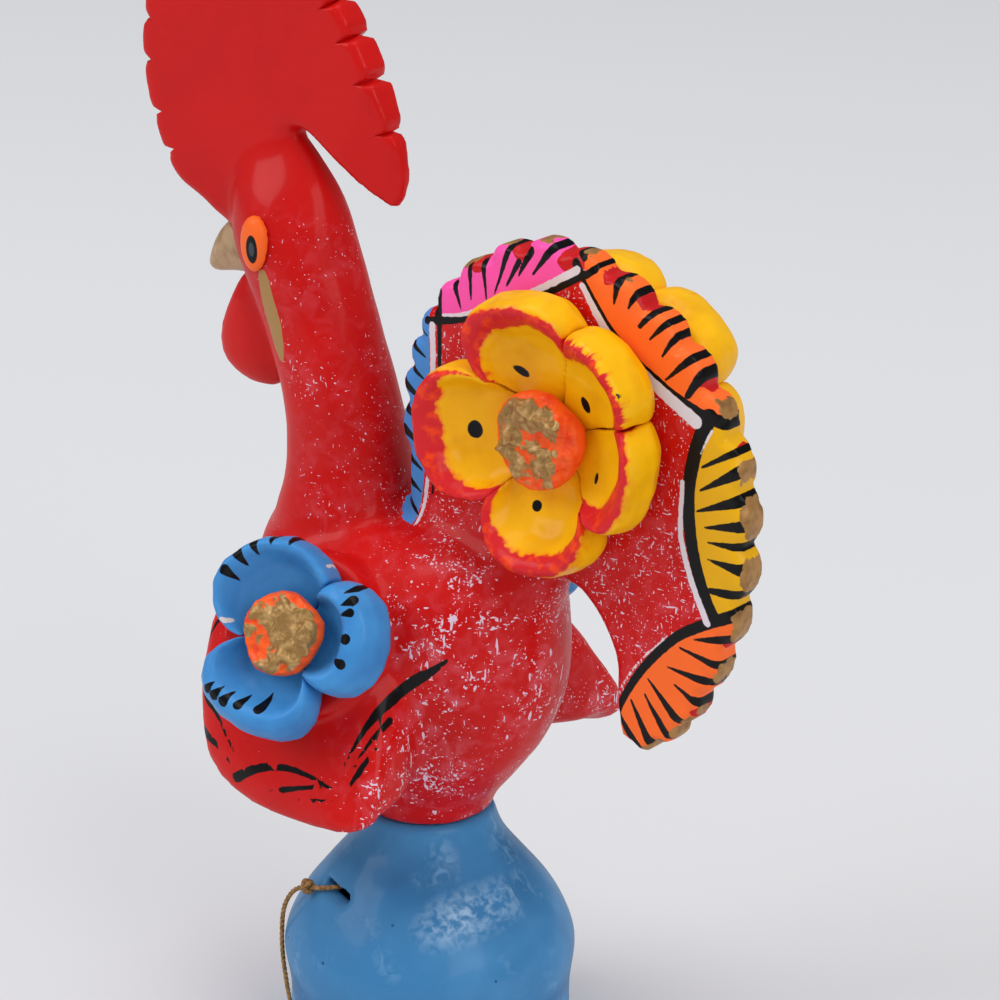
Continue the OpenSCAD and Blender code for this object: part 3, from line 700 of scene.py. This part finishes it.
def ink_distance(places):
    """Distance to the black strokes: on the tail in its plane, elsewhere in space.
    The second result says which places are on the tail."""
    plane = places[:, 1:3]
    tail = np.min([stroke_distance(plane, w[0:2], w[2:4], w[4], w[5]) for w in wedges]
                  + [line_distance(plane, *line) for line in black_lines], axis=0)
    on_left, on_right = [
        np.min([line_distance(places, [(flip * x, y, z) for x, y, z in stations], *widths, skin=bare_skin)
                for stations, *widths in wing_strokes], axis=0) for flip in (1, -1)]
    wings = np.where(places[:, 0] > 0, on_left, on_right)
    on_the_tail = (distance_to("tail_fan", places, 1.5) < 1.0) & (np.abs(places[:, 0]) < 6)
    return np.where(on_the_tail, tail, wings), on_the_tail


bare_skin = BVHTree.FromObject(bird, bpy.context.evaluated_depsgraph_get())
close = np.abs(ink_distance(corners(bird))[0]) < 0.7
only(bird)
bpy.ops.object.mode_set(mode="EDIT")
bpy.ops.mesh.select_mode(type="VERT")
bpy.ops.mesh.select_all(action="DESELECT")
bpy.ops.object.mode_set(mode="OBJECT")
bird.data.vertices.foreach_set("select", close)
bpy.ops.object.mode_set(mode="EDIT")
bpy.ops.mesh.select_mode(type="FACE")
bpy.ops.mesh.subdivide(number_cuts=1)
bpy.ops.mesh.select_all(action="SELECT")
bpy.ops.mesh.quads_convert_to_tris(quad_method="BEAUTY", ngon_method="BEAUTY")
bpy.ops.object.mode_set(mode="OBJECT")
bpy.ops.object.shade_smooth()
print("skin:", len(bird.data.polygons), "triangles")

# %% Measure the paint on the bird's skin
places = corners(bird)
plane = places[:, 1:3]
left = np.column_stack((np.abs(places[:, 0]), places[:, 1], places[:, 2]))
far = np.full(len(places), 9.0)
ink, on_the_tail = ink_distance(places)


def on_tail_only(values):
    return np.where(on_the_tail, values, far)


for colour in ("blue", "pink", "yellow"):
    store(bird, colour, on_tail_only(patch_distance(plane, bands[colour])))
store(bird, "orange", on_tail_only(np.minimum(patch_distance(plane, bands["orange"]),
                                              patch_distance(plane, bands["lower"]))))
store(bird, "ink", ink)
store(bird, "white", on_tail_only(np.min([line_distance(plane, *line) for line in white_lines], axis=0)))
store(bird, "gold", on_tail_only(np.min([stroke_distance(plane, *along_the_rim(i))
                                         for i in range(len(gold_spots))], axis=0)))
store(bird, "face_gold", np.min([stroke_distance(left, *piece) for piece in face_stroke], axis=0))
store(bird, "red_mark", on_tail_only(np.min([spot_distance(plane, s[:2], s[2]) for s in red_spots], axis=0)))
print("paint of the skin is measured")

# %% [markdown]
# ## Where the white flecks lie
# The red is dabbed with a nearly dry brush of white. The dabs are thick on the
# back and under the wings, thinner on the neck, and fine on the tail. The head,
# the comb and the wattle stay plain. Two more numbers on each vertex say how many
# flecks there are and how fine they are.

# %% Measure the flecks


def rise(values, low, high):
    """0 below low, 1 above high, and smooth in between."""
    t = np.clip((values - low) / (high - low), 0, 1)
    return t * t * (3 - 2 * t)


y, z = places[:, 1], places[:, 2]
on_wing_skin = (distance_to("wing_left", left, 1.5) < 1.0)
rump = rise(y, -8, 10)
many = 0.25 + 0.75 * rump
many = np.where(on_wing_skin, 0.12 + 0.8 * rise(y, -2, 12) * rise(-z, -88, -74), many)
neck_part = rise(z, 104, 114) * ~on_the_tail
many_on_neck = 0.98 * rise(y + 0.3 * (z - 110), -26, -15) * (1 - 0.2 * rise(z, 120, 150))
many = many * (1 - neck_part) + neck_part * many_on_neck
many = many * (1 - rise(z, 160, 172))
many = np.where(on_the_tail, 0.95, many)
for node in ("comb", "wattle"):
    many = np.where(distance_to(node, places, 1.2) < 0.8, 0, many)
store(bird, "many", many)
store(bird, "fine", np.where(on_the_tail, 1.0, 0.35 * neck_part))
store(bird, "broad", np.where(on_the_tail | on_wing_skin, 0.0, rump * rise(-z, -98, -84)))
print("flecks are measured, mean", round(float(many.mean()), 2))

# %% [markdown]
# ## The red rims and the dots of the tail's petals
# The yellow petals have a ridge of red, dabbed on roughly from the inside with
# strokes that point at the middle, and one or two black dots each. Every point of
# a petal is measured from the flower's middle, as the construction lays it out.

# %% Helpers that find a point's place on a petal


def on_petal(spots, radius, seams, form):
    """Direction from the petal's middle in degrees, distance from the flower's
    middle, share of the way to the tip, and the petal's length there."""
    middle = (seams[0][0] + seams[1][0]) / 2
    half = (seams[1][0] - seams[0][0]) / 2 - 0.5
    away = np.linalg.norm(spots[:, :2], axis=1)
    turn = (np.degrees(np.arctan2(spots[:, 1], spots[:, 0])) - middle + 180) % 360 - 180
    s = np.clip(turn / half, -1, 1)
    end = np.where(s < 0, seams[0][1], seams[1][1]) * radius
    out = form[0] * radius - (form[0] * radius - end) * np.abs(s) ** form[2]
    length = out - 0.2 * radius
    return turn, away, (away - 0.2 * radius) / length, length


print("petals can be measured")

# %% Measure the paint of the tail's petals
# dots: place from the flower's middle, half sizes, and the lean of the long side
tail_dots = [(-6.2, 11, 1.7, 0.85, -25), (-15.9, -1.5, 1.3, 1.7, 10), (7.9, 7.3, 0.85, 1.6, 20),
             (10.7, -5.7, 0.45, 1.2, -15), (-2.3, -13.5, 1.05, 1.05, 0)]
outer_dot = (19, 12.8, 1.1, 0.7, 0)
# the red of each rim from its right seam to its left one: share of the way,
# width inside the ridge and width outside it
rims = [[(-1, 4.2, 0.4), (0, 4.2, 0.3), (1, 3.8, 0.5)],
        [(-1, 2.6, 0.3), (-0.4, 3.2, 0.2), (0.3, 3.8, 0.4), (0.7, 3.4, 1.6), (1, 3, 2.6)],
        [(-1, 0, 0.2), (-0.72, 0.2, 0.8), (-0.5, 2.6, 1.6), (0, 4, 2.6), (0.5, 3.4, 2.4), (1, 2.4, 1.8)],
        [(-1, 2.2, 1.4), (-0.3, 2.4, 1.6), (0.3, 2.6, 1), (1, 3, 0.2)],
        [(-1, 4.6, 0.2), (0, 4.2, 0.4), (1, 3.6, 0.4)]]



def oval_distance(points, dot):
    lean = math.radians(dot[4])
    u, v = points[:, 0] - dot[0], points[:, 1] - dot[1]
    a = (u * math.cos(lean) + v * math.sin(lean)) / dot[2]
    b = (v * math.cos(lean) - u * math.sin(lean)) / dot[3]
    return (np.sqrt(a * a + b * b) - 1) * min(dot[2], dot[3])


for (side, k), petal in tail_petals.items():
    spots = flat_view(petal, on_tail(side))
    turn, away, share, length = on_petal(spots, tail_radius, tail_seams[k:k + 2], tail_forms[k])
    inward = (tail_forms[k][1] - share) * length
    half = (tail_seams[k + 1][0] - tail_seams[k][0]) / 2
    station = np.array(rims[k]).T
    inside, outside = (np.interp(turn / half, station[0], widths) for widths in station[1:])
    rim = np.where(inward > 0, inward - inside, -inward - outside)
    if k in (1, 2):
        side_edge = np.radians(half - turn) * away - 1.2
        rim = np.minimum(rim, np.maximum(side_edge, 15 - away))
    rim = np.where(spots[:, 2] < 2.2, 9, rim)
    store(petal, "rim", rim)
    store(petal, "around", np.radians(turn) * 20 + 50 * k)
    inner_dots = np.min([oval_distance(spots, dot) for dot in tail_dots], axis=0)
    outer_dots = np.where(inward < -0.5, oval_distance(spots, outer_dot), 9)
    store(petal, "dots", np.where(inward > 0.8, inner_dots, outer_dots))
print("petals of the tail are painted")

# %% [markdown]
# ## The dashes of the wing's petals
# The blue petals have a row of short black dashes, like stitches, across their
# ridge. Each is broad outside and thin inside. A few chips show the pale clay.

# %% Measure the dashes
# each dash: distance from the flower's middle, direction, length and width
dash_rows = {0: [(14.4, 141, 2.6, 2.1), (15.4, 127.5, 2.8, 2.2), (16.2, 115.5, 2.8, 2.1), (17.2, 103, 2.2, 2),
                 (17.2, 90, 2.4, 2.3)],
             1: [(16.4, 224, 2, 1.8), (15.8, 230.5, 2.3, 2), (15.2, 238, 2.4, 2.1), (14.2, 248, 2.1, 1.9),
                 (12.8, 263, 2.8, 2.3)],
             2: [(15.8, 37, 2, 1.6), (14.6, 29.5, 2.1, 2), (13.8, 22, 2, 1.7), (12.6, 3, 2.3, 2.1),
                 (12.8, 344, 2.4, 2)]}
chips = {0: [(16.4, 63, 2.4, 1.0), (11.4, 176, 1.4, 0.8), (16.6, 160, 1.4, 0.6)], 1: [(18.6, 296, 1.2, 0.5)],
         2: [(19.4, 330, 1.8, 0.9)]}


def polar_stroke(spots, away, turn, long, wide, thin):
    """A short stroke that points at the flower's middle."""
    way = np.array((math.cos(math.radians(turn)), math.sin(math.radians(turn))))
    return stroke_distance(spots, way * (away + long / 2), way * (away - long / 2), wide, thin)


for (side, k), petal in wing_petals.items():
    spots = flat_view(petal, on_wing(side))
    flat = spots[:, :2]
    marks = [polar_stroke(flat, *dash[:3], dash[3], 0.25) for dash in dash_rows[k]]
    store(petal, "dots", np.where(spots[:, 2] > 3.0, np.min(marks, axis=0), 9))
    scars = [polar_stroke(flat, chip[0], chip[1], chip[2], chip[3], chip[3]) for chip in chips[k]]
    store(petal, "chips", np.where(spots[:, 2] > 2.0, np.min(scars, axis=0), 9))
print("dashes are measured")

# %% Measure the pupils of the eyes
for side, eye in eyes.items():
    spots = corners(eye)[:, 1:3] - np.array((-32.1, 158.8))
    store(eye, "pupil", (np.linalg.norm(spots / np.array((1.45, 2.7)), axis=1) - 1) * 1.7)
print("pupils are measured")

# %% [markdown]
# ## Paint, coat by coat
# Every material here is paint under one coat of varnish. A small set of helpers
# builds the node trees: a pattern, a mask with a crisp but slightly rough edge,
# and a coat of colour over what is already there.

# %% Helpers for the materials


def srgb(red, green, blue):
    """A colour read from a picture, 0 to 255, as the shader wants it."""
    return tuple(v / 12.92 if v <= 0.04045 else ((v + 0.055) / 1.055) ** 2.4
                 for v in (red / 255, green / 255, blue / 255)) + (1.0,)


class Paint:
    """A material that is built up in coats."""

    def __init__(self, name, colour, roughness=0.5, varnish=0.2, varnish_roughness=0.13):
        self.material = bpy.data.materials.new(name)
        self.material.use_nodes = True
        self.tree = self.material.node_tree
        self.shader = self.tree.nodes["Principled BSDF"]
        self.shader.inputs["Roughness"].default_value = roughness
        self.shader.inputs["Coat Weight"].default_value = varnish
        self.shader.inputs["Coat Roughness"].default_value = varnish_roughness
        self.shader.inputs["Specular IOR Level"].default_value = 0.12
        self.shader.inputs["Base Color"].default_value = colour
        self.colour = colour
        self.coords = self.tree.nodes.new("ShaderNodeTexCoord").outputs["Object"]

    def link(self, source, target):
        if isinstance(source, bpy.types.NodeSocket):
            self.tree.links.new(source, target)
        else:
            target.default_value = source

    def sum(self, how, a, b=0.0, c=0.0):
        """One step of arithmetic between sockets or numbers."""
        node = self.tree.nodes.new("ShaderNodeMath")
        node.operation = how
        for number, socket in zip((a, b, c), node.inputs):
            self.link(number, socket)
        return node.outputs[0]

    def ramp(self, value, low, high):
        """0 at low, 1 at high, straight between, and clamped outside."""
        node = self.tree.nodes.new("ShaderNodeMapRange")
        self.link(value, node.inputs["Value"])
        node.inputs["From Min"].default_value = low
        node.inputs["From Max"].default_value = high
        return node.outputs["Result"]

    def number(self, name):
        """A number that the vertices store."""
        node = self.tree.nodes.new("ShaderNodeAttribute")
        node.attribute_name = name
        return node.outputs["Fac"]

    def bent(self, per_metre, reach):
        """The object's coordinates, pushed about by a noise, reach mm at most."""
        cloud = self.tree.nodes.new("ShaderNodeTexNoise")
        self.link(self.coords, cloud.inputs["Vector"])
        cloud.inputs["Scale"].default_value = per_metre
        push = self.tree.nodes.new("ShaderNodeVectorMath")
        push.operation = "MULTIPLY_ADD"
        self.link(cloud.outputs["Color"], push.inputs[0])
        push.inputs[1].default_value = (mm(2 * reach),) * 3
        self.link(self.coords, push.inputs[2])
        return push.outputs[0]

    def turned(self, angles, stretch, coords=None):
        """Coordinates that are turned and stretched for a pattern."""
        node = self.tree.nodes.new("ShaderNodeMapping")
        self.link(coords or self.coords, node.inputs["Vector"])
        node.inputs["Rotation"].default_value = angles
        node.inputs["Scale"].default_value = stretch
        return node.outputs["Vector"]

    def noise(self, per_metre, detail=2.0, coords=None, warp=0.0):
        node = self.tree.nodes.new("ShaderNodeTexNoise")
        self.link(coords or self.coords, node.inputs["Vector"])
        node.inputs["Scale"].default_value = per_metre
        node.inputs["Detail"].default_value = detail
        node.inputs["Distortion"].default_value = warp
        return node.outputs["Fac"]

    def cells(self, per_metre, coords):
        """Voronoi cells: the distance to the middle and a random number for each."""
        node = self.tree.nodes.new("ShaderNodeTexVoronoi")
        self.link(coords, node.inputs["Vector"])
        node.inputs["Scale"].default_value = per_metre
        split = self.tree.nodes.new("ShaderNodeSeparateColor")
        self.link(node.outputs["Color"], split.inputs[0])
        return node.outputs["Distance"], split.outputs[0]

    def edge(self, name, rough=0.12, per_metre=900, soft=0.06):
        """1 inside the paint that the number measures, 0 outside it."""
        wobble = self.sum("MULTIPLY", self.sum("SUBTRACT", self.noise(per_metre, 3), 0.5), 4 * rough)
        return self.ramp(self.sum("ADD", self.number(name), wobble), soft, -soft)

    def coat(self, mask, colour):
        """Lays a colour over the paint so far, where the mask is 1."""
        node = self.tree.nodes.new("ShaderNodeMix")
        node.data_type = "RGBA"
        self.link(mask, node.inputs[0])
        self.link(self.colour, node.inputs[6])
        self.link(colour, node.inputs[7])
        self.colour = node.outputs[2]
        return self

    def finish(self, bump=0.04, per_metre=700):
        """Wires the colour to the shader and gives the varnish its fine relief."""
        self.link(self.colour, self.shader.inputs["Base Color"])
        node = self.tree.nodes.new("ShaderNodeBump")
        node.inputs["Strength"].default_value = bump
        node.inputs["Distance"].default_value = mm(1.0)
        self.link(self.noise(per_metre, 4), node.inputs["Height"])
        self.link(node.outputs["Normal"], self.shader.inputs["Normal"])
        return self.material


print("paint helpers are ready")

# %% [markdown]
# ## The red paint with its flecks
# A fleck is a peak of a noise that is stretched, as a bristle leaves it. Layers of
# such noise, turned different ways and bent a little, cross each other. The share
# that the vertices ask for lifts the peaks over a fixed height, so more of them
# show, and a slow noise gathers the flecks in clouds.

# %% Mix the red paint
red = Paint("red_paint", srgb(204, 10, 8))
red.coat(red.ramp(red.noise(45, 4), 0.45, 0.8), srgb(184, 5, 6))
fine, broad = red.number("fine"), red.number("broad")
coarse = red.sum("SUBTRACT", 1.0, fine)
everywhere = red.sum("MULTIPLY_ADD", fine, 0.28, 0.72)
cloud = red.ramp(red.noise(110, 3, warp=0.5), 0.34, 0.66)
# where the flecks are fine, the clouds of them are faint too
cloud = red.sum("MULTIPLY_ADD", red.sum("SUBTRACT", 0.55, cloud), red.sum("MULTIPLY", fine, 0.7), cloud)
share = red.sum("MULTIPLY", red.number("many"), red.sum("MULTIPLY_ADD", cloud, 0.78, 0.22))
bent = red.bent(300, 0.4)
flecks = 0.0
# patterns in a metre, turn, stretch, gain of the share, and where it is used
layers = [
    (1050, (0.15, 0.1, 0.1), (1, 1, 0.22), 0.19, coarse),
    (1200, (1.2, 0.5, 0.9), (1, 0.24, 1), 0.185, coarse),
    (1400, (0.2, 1.1, 2.0), (0.24, 1, 1), 0.185, coarse),
    (2200, (0.9, 0.1, 0.4), (1, 0.24, 1), 0.225, everywhere),
    (2500, (2.3, 0.7, 1.4), (1, 1, 0.26), 0.225, everywhere),
    (2100, (0.3, 0.2, 2.6), (0.26, 1, 1), 0.215, fine),
    (760, (0.1, 0.15, 0.5), (1, 1, 0.24), 0.175, broad)]
for per_metre, angles, stretch, gain, where in layers:
    field = red.noise(per_metre, 1, red.turned(angles, stretch, bent))
    raised = red.sum("MULTIPLY_ADD", red.sum("MULTIPLY", share, where), gain, field)
    flecks = red.sum("MAXIMUM", red.ramp(raised, 0.83, 0.86), flecks)
haze = red.sum("MULTIPLY", red.ramp(red.noise(260, 5, warp=0.8), 0.46, 0.8), share)
red.coat(red.sum("MULTIPLY", haze, red.sum("MULTIPLY_ADD", broad, 0.25, 0.35)), srgb(226, 124, 140))
red.coat(red.sum("MULTIPLY", flecks, red.ramp(share, 0.01, 0.05)), srgb(222, 196, 214))
for name, colour in (("blue", srgb(72, 140, 210)), ("pink", srgb(252, 84, 172)),
                     ("orange", srgb(255, 108, 38)), ("yellow", srgb(232, 172, 8))):
    red.coat(red.edge(name, 0.08), colour)
red.coat(red.edge("red_mark", 0.7, 330), srgb(196, 18, 24))
red.coat(red.edge("ink", 0.07), srgb(10, 9, 11))
red.coat(red.edge("white", 0.12), srgb(222, 214, 222))
gold_mask = red.edge("gold", 0.5, 380)
face_mask = red.edge("face_gold", 0.04)
red.coat(gold_mask, srgb(178, 132, 78))
red.coat(red.sum("MULTIPLY", gold_mask, red.ramp(red.noise(500, 3), 0.4, 0.8)), srgb(128, 88, 46))
red.coat(face_mask, srgb(176, 134, 80))
red.link(red.sum("MULTIPLY", red.sum("MAXIMUM", gold_mask, face_mask), 0.3), red.shader.inputs["Metallic"])
red_material = red.finish()
print("red paint:", len(red.tree.nodes), "nodes")

# %% [markdown]
# ## Yellow, blue, orange and gold
# The yellow petals are brushed with crimson and orange-red from the rim inward,
# each stroke ending at its own length. The hearts are orange, with gold rubbed
# over the raised parts only. The blue of the stand is sponged on in dabs, with a
# painted highlight on its shoulder and bands of painted shade and painted shadow.

# %% Mix the paint of the petals
yellow = Paint("yellow_petal_paint", srgb(248, 184, 4))
yellow.coat(yellow.ramp(yellow.noise(120, 3), 0.5, 0.8), srgb(230, 158, 2))


def bristles(paint, per_metre):
    """A noise that changes only round the flower, so it draws radial streaks."""
    node = paint.tree.nodes.new("ShaderNodeTexNoise")
    node.noise_dimensions = "1D"
    paint.link(paint.number("around"), node.inputs["W"])
    node.inputs["Scale"].default_value = per_metre / 1000
    node.inputs["Detail"].default_value = 3
    return node.outputs["Fac"]


streak = yellow.sum("MULTIPLY_ADD", bristles(yellow, 1100), 3.0, -1.5)
rough = yellow.sum("MULTIPLY_ADD", yellow.noise(500, 4), 2.0, -1.0)
rim = yellow.sum("ADD", yellow.number("rim"), yellow.sum("ADD", streak, rough))
crimson = yellow.ramp(rim, 0.12, -0.12)
yellow.coat(yellow.sum("MULTIPLY", yellow.ramp(rim, 0.6, 0.1), 0.6), srgb(244, 120, 14))
yellow.coat(crimson, srgb(214, 34, 40))
orange_red = yellow.ramp(yellow.sum("MULTIPLY_ADD", bristles(yellow, 700), 0.6,
                                    yellow.sum("MULTIPLY", yellow.noise(420, 4), 0.4)), 0.5, 0.56)
yellow.coat(yellow.sum("MULTIPLY", crimson, orange_red), srgb(240, 66, 22))
yellow.coat(yellow.edge("dots", 0.05), srgb(10, 10, 18))
yellow_material = yellow.finish(0.06)

sky = Paint("blue_petal_paint", srgb(68, 144, 208))
sky.coat(sky.ramp(sky.noise(90, 3), 0.45, 0.75), srgb(52, 122, 188))
sky.coat(sky.edge("dots", 0.04), srgb(8, 9, 14))
sky.coat(sky.edge("chips", 0.3, 700), srgb(214, 206, 204))
sky_material = sky.finish(0.06)
print("petal paints are mixed")

# %% Mix the paint of the hearts and the eyes
knob = Paint("heart_paint", srgb(250, 96, 34), varnish=0.25)
knob.coat(knob.ramp(knob.noise(400, 3), 0.5, 0.7), srgb(238, 70, 30))
patches = knob.sum("MULTIPLY_ADD", knob.noise(330, 4), 3.2, -1.6)
raised = knob.ramp(knob.sum("ADD", knob.number("sunk"), patches), 0.7, 0.55)
knob.coat(raised, srgb(170, 130, 76))
knob.coat(knob.sum("MULTIPLY", raised, knob.ramp(knob.noise(520, 3), 0.48, 0.68)), srgb(212, 172, 112))
foot = knob.ramp(knob.sum("MULTIPLY_ADD", knob.noise(300, 3), 1.6, knob.number("foot")), 1.0, 0.8)
knob.coat(foot, srgb(196, 202, 212))
knob.link(knob.sum("MULTIPLY", raised, 0.55), knob.shader.inputs["Metallic"])
heart_material = knob.finish(0.12, 700)

iris = Paint("eye_paint", srgb(250, 104, 34))
iris.coat(iris.edge("pupil", 0.02), srgb(6, 6, 8))
# a grey patch in the middle of each pupil is a painted reflection of the varnish
iris.coat(iris.ramp(iris.number("pupil"), -0.75, -0.95), srgb(62, 66, 74))
eye_material = iris.finish(0.02)

horn = Paint("beak_paint", srgb(188, 156, 120), varnish=0.2)
horn.coat(horn.ramp(horn.noise(260, 4), 0.45, 0.65), srgb(160, 122, 88))
horn.shader.inputs["Metallic"].default_value = 0.15
beak_material = horn.finish(0.08)
print("heart, eye and beak paints are mixed")

# %% Mix the paint of the stand and the fibre of the twine
bell = Paint("stand_paint", srgb(62, 128, 180))
spots = corners(stand)
height = spots[:, 2]
# a pale patch on the shoulder of the stand, on its +X side only, is a painted highlight
stand_highlight = spot_distance(spots[:, 1:3] * (1, 1.3), (17.5, 46.5), 5.5)
store(stand, "stand_highlight", stand_highlight + np.where(spots[:, 0] < 0, 9, 0))
store(stand, "groove", np.abs(height - 15) - 2.0)
store(stand, "body_shadow_band", np.abs(height - 40) - 5.0)
bell.coat(bell.ramp(bell.noise(60, 4, warp=0.5), 0.45, 0.72), srgb(76, 142, 194))
# painted shade: the groove round the stand, about 15 mm up, is darkened
bell.coat(bell.sum("MULTIPLY", bell.ramp(bell.number("groove"), 1.5, -1.5), 0.45), srgb(34, 96, 152))
# painted shadow of the bird on the stand: a band about 40 mm up, just under the body, is darkened in patches
painted_shadow = bell.sum("MULTIPLY", bell.ramp(bell.number("body_shadow_band"), 4, -3), bell.ramp(bell.noise(40, 3), 0.35, 0.6))
bell.coat(bell.sum("MULTIPLY", painted_shadow, 0.75), srgb(26, 84, 132))
dabs = bell.sum("MULTIPLY", bell.ramp(bell.noise(75, 2), 0.56, 0.7),
                bell.ramp(bell.noise(420, 4, warp=1.0), 0.48, 0.64))
bell.coat(bell.sum("MULTIPLY", dabs, 0.35), srgb(140, 188, 224))
# painted highlight: the pale patch on the shoulder of the stand
pale = bell.sum("MULTIPLY", bell.ramp(bell.number("stand_highlight"), 2, -5),
                bell.ramp(bell.noise(600, 4, warp=0.4), 0.4, 0.6))
bell.coat(bell.sum("MULTIPLY", pale, 0.75), srgb(168, 202, 230))
gap, chance = bell.cells(330, bell.coords)
bell.coat(bell.sum("MULTIPLY", bell.ramp(gap, 0.14, 0.08), bell.ramp(chance, 0.06, 0.05)), srgb(28, 70, 112))
stand_material = bell.finish(0.05)

jute = Paint("jute_fibre", srgb(178, 140, 94), roughness=0.85, varnish=0.0)
jute.coat(jute.ramp(jute.noise(1800, 3), 0.4, 0.65), srgb(134, 98, 58))
jute_material = jute.finish(0.5, 2500)
print("paints:", [m.name for m in bpy.data.materials if m.users == 0])

# %% [markdown]
# ## Put the paint on
# Each finished piece takes its finish, the construction nodes that it stands for
# are hidden, and it is attached to the one solid body.

# %% Dress the pieces


def dress(piece, material, slot, *nodes):
    piece.data.materials.clear()
    piece.data.materials.append(material)
    for group in list(piece.vertex_groups):
        piece.vertex_groups.remove(group)
    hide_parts(*nodes)
    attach(piece, "root")


dress(bird, red_material, "red_paint", *round_forms, *crisp_forms)
dress(beak, beak_material, "beak_paint", "beak")
dress(stand, stand_material, "stand_paint", "stand")
for side, eye in eyes.items():
    dress(eye, eye_material, "eye_paint", "eye_" + side)
for (side, k), petal in tail_petals.items():
    dress(petal, yellow_material, "yellow_petal_paint", f"tail_flower_{side}_petal_{k + 1}")
for (side, k), petal in wing_petals.items():
    dress(petal, sky_material, "blue_petal_paint", f"wing_flower_{side}_petal_{k + 1}")
for (place, side), heart in hearts.items():
    dress(heart, heart_material, "heart_paint", f"{place}_flower_{side}_heart")
dress(knot, jute_material, "jute", "twine_knot")
dress(twine, jute_material, "jute", "twine")
print("all pieces are dressed")

# %% [markdown]
# ## Floor and light
# The object stands on a plain pale floor that fills the picture. Most of the
# light comes from everywhere, as in a tent of white cloth, and three large soft
# lamps model the forms and give the varnish its highlights.

# %% Build the floor and the light
bpy.ops.object.select_all(action="DESELECT")
bpy.ops.mesh.primitive_plane_add(size=8.0, location=(0, 0, 0))
floor = bpy.context.active_object
floor.name = "floor"
floor_paint = bpy.data.materials.new("floor_paper")
floor_paint.use_nodes = True
floor_paint.node_tree.nodes["Principled BSDF"].inputs["Base Color"].default_value = srgb(216, 216, 218)
floor_paint.node_tree.nodes["Principled BSDF"].inputs["Roughness"].default_value = 0.9
floor.data.materials.append(floor_paint)

world = bpy.data.worlds.new("tent")
bpy.context.scene.world = world
world.use_nodes = True
cloth = world.node_tree.nodes["Background"]
cloth.inputs["Color"].default_value = (0.95, 0.97, 1.0, 1.0)
# the varnish sees a darker tent than the colours do, so it keeps them deep
rays = world.node_tree.nodes.new("ShaderNodeLightPath")
dim = world.node_tree.nodes.new("ShaderNodeMapRange")
world.node_tree.links.new(rays.outputs["Is Glossy Ray"], dim.inputs["Value"])
dim.inputs["To Min"].default_value = 0.6
dim.inputs["To Max"].default_value = 0.12
world.node_tree.links.new(dim.outputs["Result"], cloth.inputs["Strength"])


def lamp(name, place, size, power):
    """A square soft lamp, aimed at the middle of the object."""
    data = bpy.data.lights.new(name, "AREA")
    data.shape = "SQUARE"
    data.size = size
    data.energy = power
    piece = bpy.data.objects.new(name, data)
    bpy.context.scene.collection.objects.link(piece)
    piece.location = place
    piece.rotation_euler = (Vector((0, 0.02, 0.1)) - Vector(place)).to_track_quat("-Z", "Y").to_euler()
    return piece


lamp("lamp_left", (1.7, -1.6, 1.9), 1.6, 26.0)
lamp("lamp_right", (0.9, 2.4, 1.7), 1.6, 22.0)
lamp("lamp_top", (0.0, 0.1, 2.8), 2.0, 26.0)
bpy.context.scene.view_settings.view_transform = "Standard"
print("floor and lamps are in place")
